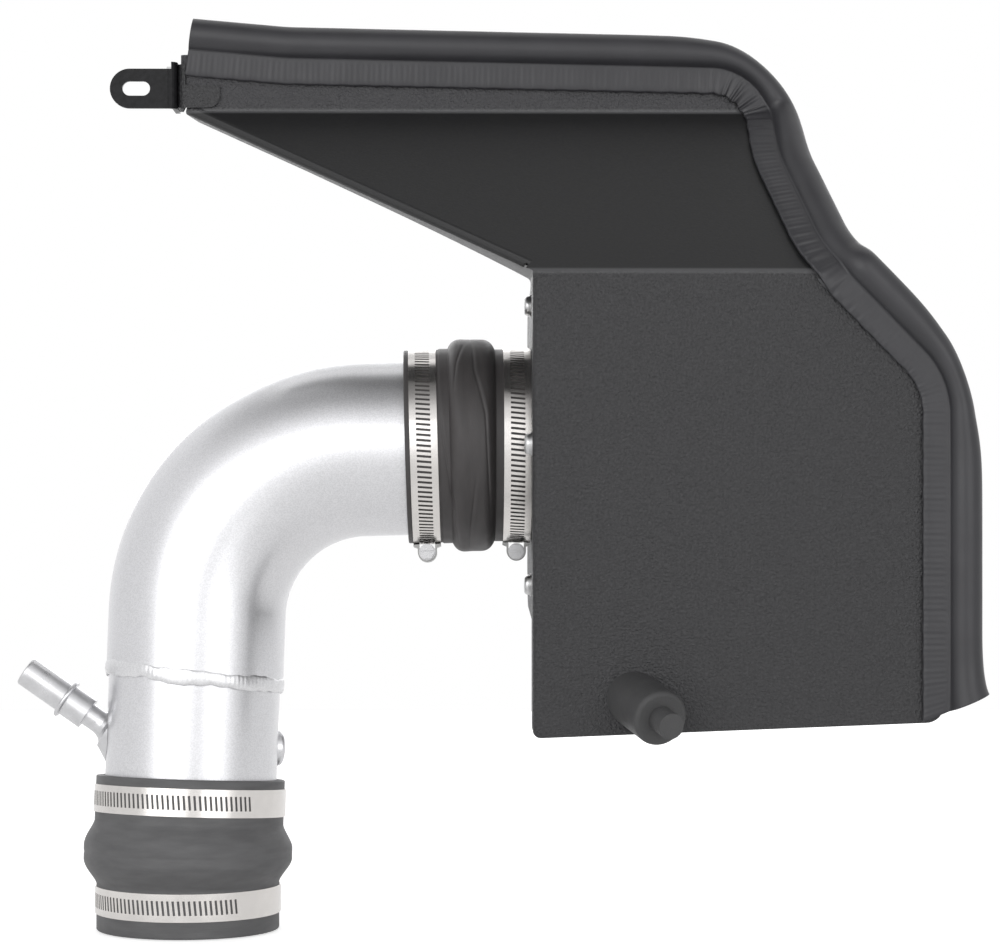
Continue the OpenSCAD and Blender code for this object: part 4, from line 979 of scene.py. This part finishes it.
    @staticmethod
    def join_bore(obj: Piece, bore: Array) -> None:
        """Add the hollow of the bulb and close both end faces.

        Args:
            obj: The trim so far, open at both ends.
            bore: Rings of the hollow, in metres.
        """
        bm = bmesh.new()
        bm.from_mesh(obj.data)
        bm.verts.ensure_lookup_table()
        n, m = bore.shape[:2]
        verts = [[bm.verts.new(tuple(q)) for q in ring] for ring in bore]
        for i in range(n - 1):
            for j in range(m):
                k = (j + 1) % m
                bm.faces.new((verts[i][j], verts[i + 1][j], verts[i + 1][k], verts[i][k]))
        bm.edges.index_update()
        open_edges = [e for e in bm.edges if e.is_boundary]
        for near in (0, n - 1):
            middle = bore[near].mean(axis=0)
            ring = [e for e in open_edges if e.is_valid and e.is_boundary
                    and np.linalg.norm(np.array(e.verts[0].co) - middle) < 0.03]
            bmesh.ops.triangle_fill(bm, use_beauty=True, use_dissolve=False, edges=ring)
        bmesh.ops.recalc_face_normals(bm, faces=bm.faces)
        for f in bm.faces:
            f.smooth = len(f.verts) == 4
            f.material_index = 0 if f.smooth else 1
        bm.to_mesh(obj.data)
        bm.free()


@dataclass
class Clamps:
    """The five worm drive clamps."""

    names: tuple[str, ...] = ("engine_clamp", "lower_tube_clamp", "elbow_clamp", "adapter_clamp",
                              "filter_clamp")

    def build(self, strip: Material, housing: Material, screw: Material) -> None:
        """Dress the bands, housings and screws.

        Args:
            strip: Finish of the bands.
            housing: Finish of the housings.
            screw: Finish of the worm screws.
        """
        for name in self.names:
            dress(name + "_band", strip)
            dress(name + "_housing", housing)
            dress(name + "_screw", screw)


@dataclass
class Shield:
    """Folded shield, side plate, doubler, bracket and the fasteners that join them."""

    def build(self, coat: Material, plate: Material, bracket: Material,
              zinc: Material, rubber: Material) -> None:
        """Dress the sheet metal and its fasteners.

        Args:
            coat: Powder coat of the shield.
            plate: Powder coat of the side plate and the doubler.
            bracket: Coat of the bracket.
            zinc: Finish of the fasteners.
            rubber: Rubber of the peg.
        """
        dress("heat_shield", coat)
        dress("side_plate", plate)
        dress("end_doubler", plate)
        dress("mounting_bracket", bracket)
        for name in ("bracket_bolt", "bracket_nut", "adapter_screws", "adapter_washers", "peg_washer",
                     "peg_nut"):
            dress(name, zinc)
        dress("locating_peg", rubber)


@dataclass
class Filter:
    """Filter adapter and the conical filter behind the shield."""

    def build(self, metal: Material, mould: Material, gauze: Material) -> None:
        """Dress the adapter and the filter.

        Args:
            metal: Finish of the adapter.
            mould: Rubber of base and cap.
            gauze: Finish of the pleats.
        """
        dress("filter_adapter", metal)
        dress("filter_base", mould)
        dress("filter_cap", mould)
        dress("filter_media", gauze, 50.0)


# Camera, floor and light

@dataclass(frozen=True)
class Softbox:
    """One soft area lamp: its name, place, width and height in metres, and watts."""

    name: str
    at: Color
    size: tuple[float, float]
    power: float

    def hang(self, to: Color) -> None:
        """Hang the lamp.

        Args:
            to: The point that it faces.
        """
        data = bpy.data.lights.new(self.name, "AREA")
        data.shape = "RECTANGLE"
        data.size, data.size_y = self.size
        data.energy = self.power
        lamp = bpy.data.objects.new(self.name, data)
        bpy.context.scene.collection.objects.link(lamp)
        lamp.location = self.at
        way = np.array(to, float) - np.array(self.at, float)
        lamp.rotation_euler = Vector(way).to_track_quat("-Z", "Y").to_euler()


@dataclass
class Studio:
    """Camera, pale floor and soft studio light."""

    aim: tuple[float, float, float] = (0.1619, 0.0, 0.2345)
    distance: float = 1.737
    swing: float = 1.0
    lens: float = 120.24
    floor_z: float = -0.0005
    floor_half: float = 1.6
    ambient: float = 0.58
    ceiling: float = 0.20
    ceiling_span: tuple[float, float] = (0.62, 0.97)
    side_walls: float = 0.84
    wall_span: tuple[float, float] = (0.45, 0.95)
    floor_seen: float = 0.64
    floor_mirrored: float = 0.35
    middle: tuple[float, float, float] = (0.18, 0.0, 0.24)
    lamps: tuple[Softbox, ...] = (
        Softbox("key", (-0.80, -1.85, 0.75), (1.9, 1.4), 13),
        Softbox("fill", (1.25, -1.75, 0.40), (1.3, 1.3), 7),
        Softbox("top", (0.25, 0.35, 1.6), (1.6, 0.9), 3.5),
        Softbox("back", (0.2, 1.7, 0.8), (1.6, 1.0), 9))

    def camera(self) -> None:
        """Set the camera at the photograph's place."""
        a = math.radians(self.swing)
        data = bpy.data.cameras.new("camera")
        data.lens = self.lens
        data.sensor_width = 36
        data.clip_end = 50
        cam = bpy.data.objects.new("camera", data)
        bpy.context.scene.collection.objects.link(cam)
        x, y, z = self.aim
        cam.location = (x - math.sin(a) * self.distance, y - math.cos(a) * self.distance, z)
        cam.rotation_euler = (math.pi / 2, 0, -a)
        bpy.context.scene.camera = cam

    @staticmethod
    def seen(tree: bpy.types.NodeTree, camera: float, mirror: float) -> Socket:
        """One strength for rays of the camera and another for mirrored and transmitted rays.

        Args:
            tree: Node tree.
            camera: Strength that the camera sees.
            mirror: Strength that metal and glass show.

        Returns:
            The value output.
        """
        path = tree.nodes.new("ShaderNodeLightPath")
        total: Socket | None = None
        rays = {"Is Camera Ray": camera, "Is Glossy Ray": mirror, "Is Transmission Ray": mirror}
        for ray, strength in rays.items():
            node = tree.nodes.new("ShaderNodeMath")
            node.operation = "MULTIPLY_ADD"
            node.inputs[1].default_value = strength
            node.inputs[2].default_value = 0.0
            tree.links.new(path.outputs[ray], node.inputs[0])
            if total is not None:
                tree.links.new(total, node.inputs[2])
            total = node.outputs[0]
        return total

    def floor(self) -> None:
        """Lay the pale floor: lit and shadowed, and lifted to white for the camera."""
        mesh = bpy.data.meshes.new("floor")
        s = self.floor_half
        corners = [(-s, -s), (s, -s), (s, s), (-s, s)]
        mesh.from_pydata([(x, y, self.floor_z) for x, y in corners], [], [(0, 1, 2, 3)])
        obj = shown("floor", mesh)
        mat = bpy.data.materials.new("pale_floor")
        mat.use_nodes = True
        tree = mat.node_tree
        base = tree.nodes["Principled BSDF"]
        base.inputs["Base Color"].default_value = (0.8, 0.8, 0.8, 1)
        base.inputs["Roughness"].default_value = 0.9
        glow = tree.nodes.new("ShaderNodeEmission")
        tree.links.new(self.seen(tree, self.floor_seen, self.floor_mirrored), glow.inputs["Strength"])
        both = tree.nodes.new("ShaderNodeAddShader")
        tree.links.new(base.outputs[0], both.inputs[0])
        tree.links.new(glow.outputs[0], both.inputs[1])
        tree.links.new(both.outputs[0], tree.nodes["Material Output"].inputs["Surface"])
        obj.data.materials.append(mat)

    def world(self) -> None:
        """Set a pale room with a dim ceiling; the camera sees plain white."""
        world = bpy.data.worlds.new("room")
        bpy.context.scene.world = world
        world.use_nodes = True
        tree = world.node_tree
        coords = tree.nodes.new("ShaderNodeTexCoord")
        split = tree.nodes.new("ShaderNodeSeparateXYZ")
        tree.links.new(coords.outputs["Generated"], split.inputs["Vector"])
        height = tree.nodes.new("ShaderNodeMapRange")
        height.interpolation_type = "SMOOTHSTEP"
        height.inputs["From Min"].default_value = self.ceiling_span[0]
        height.inputs["From Max"].default_value = self.ceiling_span[1]
        height.inputs["To Min"].default_value = 1.0
        height.inputs["To Max"].default_value = self.ceiling
        tree.links.new(split.outputs["Z"], height.inputs["Value"])
        aside = tree.nodes.new("ShaderNodeMath")
        aside.operation = "ABSOLUTE"
        tree.links.new(split.outputs["X"], aside.inputs[0])
        walls = tree.nodes.new("ShaderNodeMapRange")
        walls.interpolation_type = "SMOOTHSTEP"
        walls.inputs["From Min"].default_value = self.wall_span[0]
        walls.inputs["From Max"].default_value = self.wall_span[1]
        walls.inputs["To Min"].default_value = 1.0
        walls.inputs["To Max"].default_value = self.side_walls
        tree.links.new(aside.outputs[0], walls.inputs["Value"])
        shade = tree.nodes.new("ShaderNodeMath")
        shade.operation = "MULTIPLY"
        tree.links.new(height.outputs["Result"], shade.inputs[0])
        tree.links.new(walls.outputs["Result"], shade.inputs[1])
        path = tree.nodes.new("ShaderNodeLightPath")
        mirror = tree.nodes.new("ShaderNodeMath")
        mirror.operation = "MAXIMUM"
        tree.links.new(path.outputs["Is Glossy Ray"], mirror.inputs[0])
        tree.links.new(path.outputs["Is Transmission Ray"], mirror.inputs[1])
        room = tree.nodes["Background"]
        room.inputs["Color"].default_value = (0.99, 0.99, 1.0, 1)
        level = tree.nodes.new("ShaderNodeMapRange")
        level.inputs["To Min"].default_value = self.ambient
        level.inputs["To Max"].default_value = 1.0
        tree.links.new(mirror.outputs[0], level.inputs["Value"])
        strength = tree.nodes.new("ShaderNodeMath")
        strength.operation = "MULTIPLY"
        tree.links.new(level.outputs["Result"], strength.inputs[0])
        tree.links.new(shade.outputs[0], strength.inputs[1])
        tree.links.new(strength.outputs[0], room.inputs["Strength"])
        white = tree.nodes.new("ShaderNodeBackground")
        white.inputs["Color"].default_value = (1, 1, 1, 1)
        white.inputs["Strength"].default_value = 1.0
        mix = tree.nodes.new("ShaderNodeMixShader")
        tree.links.new(path.outputs["Is Camera Ray"], mix.inputs[0])
        tree.links.new(room.outputs[0], mix.inputs[1])
        tree.links.new(white.outputs[0], mix.inputs[2])
        tree.links.new(mix.outputs[0], tree.nodes["World Output"].inputs["Surface"])

    def build(self) -> None:
        """Set the whole stage."""
        self.camera()
        self.floor()
        self.world()
        for lamp in self.lamps:
            lamp.hang(self.middle)
        bpy.context.scene.view_settings.view_transform = "Standard"


# Angle in degrees round the coupler and distance from the middle of its hump in mm
ENGINE_CREASES = (((0, 0.2), (120, -0.1), (240, 0.1), (360, 0.2)),)
FILTER_CREASES = (((178, -0.5), (228, 1.2), (255, 6.4), (327, 9.6)),
                  ((232, -17.0), (262, -15.6), (308, -10.5), (345, -7.5)),
                  ((196, -2.6), (222, -7.4), (250, -9.8)),
                  ((285, 2.0), (318, -1.4), (352, -3.2)),
                  ((20, -8.0), (70, -1.0), (120, 6.5), (160, 9.0)),
                  ((60, -12.0), (110, -8.4), (150, -4.4)))


def main() -> None:
    """Build the stage and every piece in order."""
    logging.basicConfig(level=logging.INFO, format="%(message)s")
    Studio().build()
    line = TubeLine()
    Pipe(line).build(SilverPaint().build(), SilverPaint("weld_paint", (0.78, 0.78, 0.79)).build(),
                     Machined("nipple_metal", (0.66, 0.66, 0.67), 0.30).build(),
                     Machined("plug_steel", (0.30, 0.30, 0.31), 0.35).build())
    base_axis = np.array([0.0, 0.0, 1.0])
    leg_axis = line.at(np.array([line.length]))[3][0]
    engine_rubber = Rubber("engine_rubber", (0.132, 0.132, 0.134), 0.55, 0.06, 0.22, (1, 1, 5)).build()
    Coupler("engine_coupler", "engine_rubber", np.array([0.0, 0.0, line.hump_z]), base_axis,
            line.rotation @ base_axis, low_bore=86.0, high_bore=89.1, low_reach=39.5, high_reach=38.5,
            hump_od=107.8, hump_w=31.0, crease_mm=0.22, creases=ENGINE_CREASES).build(engine_rubber)
    filter_rubber = Rubber("filter_rubber", (0.058, 0.0535, 0.0535), 0.50, 0.05, 0.12, (4, 1, 1)).build()
    Coupler("filter_coupler", "filter_rubber", line.hub, leg_axis, np.array([1.0, 0.0, 0.0]),
            low_bore=92.2, high_bore=91.8, low_reach=34.5, high_reach=30.6, hump_od=110.7, hump_w=23.0,
            shape=(3.0, 0.85), step_mm=0.5, crease_mm=0.38, creases=FILTER_CREASES).build(filter_rubber)
    Clamps().build(Strip().build(), Machined("housing_steel", (0.27, 0.27, 0.265), 0.30).build(),
                   Machined("worm_steel", (0.46, 0.46, 0.465), 0.24).build())
    trim = Trim(line.hub)
    folds = tuple(float(line.hub[2]) + fold for fold in (trim.fold_low, trim.fold_high))
    bracket_coat = PowderCoat("bracket_coat", (0.010, 0.010, 0.011), 500, 0.04, 0.36, 0.2).build()
    Shield().build(PowderCoat("shield_coat", folds=folds).build(), PowderCoat("plate_coat").build(),
                   bracket_coat, Machined("zinc_steel", (0.6, 0.6, 0.6), 0.32).build(),
                   Rubber("peg_rubber", (0.070, 0.070, 0.071), 0.50, 0.40).build())
    trim.build(TrimRubber().build(), Rubber("cut_rubber", (0.17, 0.17, 0.172), 0.6, 0.1).build())
    Filter().build(Machined("adapter_metal", (0.12, 0.12, 0.125), 0.4, 0.6).build(),
                   Rubber("filter_mould", (0.02, 0.02, 0.021), 0.5).build(), Gauze().build())


if __name__ == "__main__":
    main()
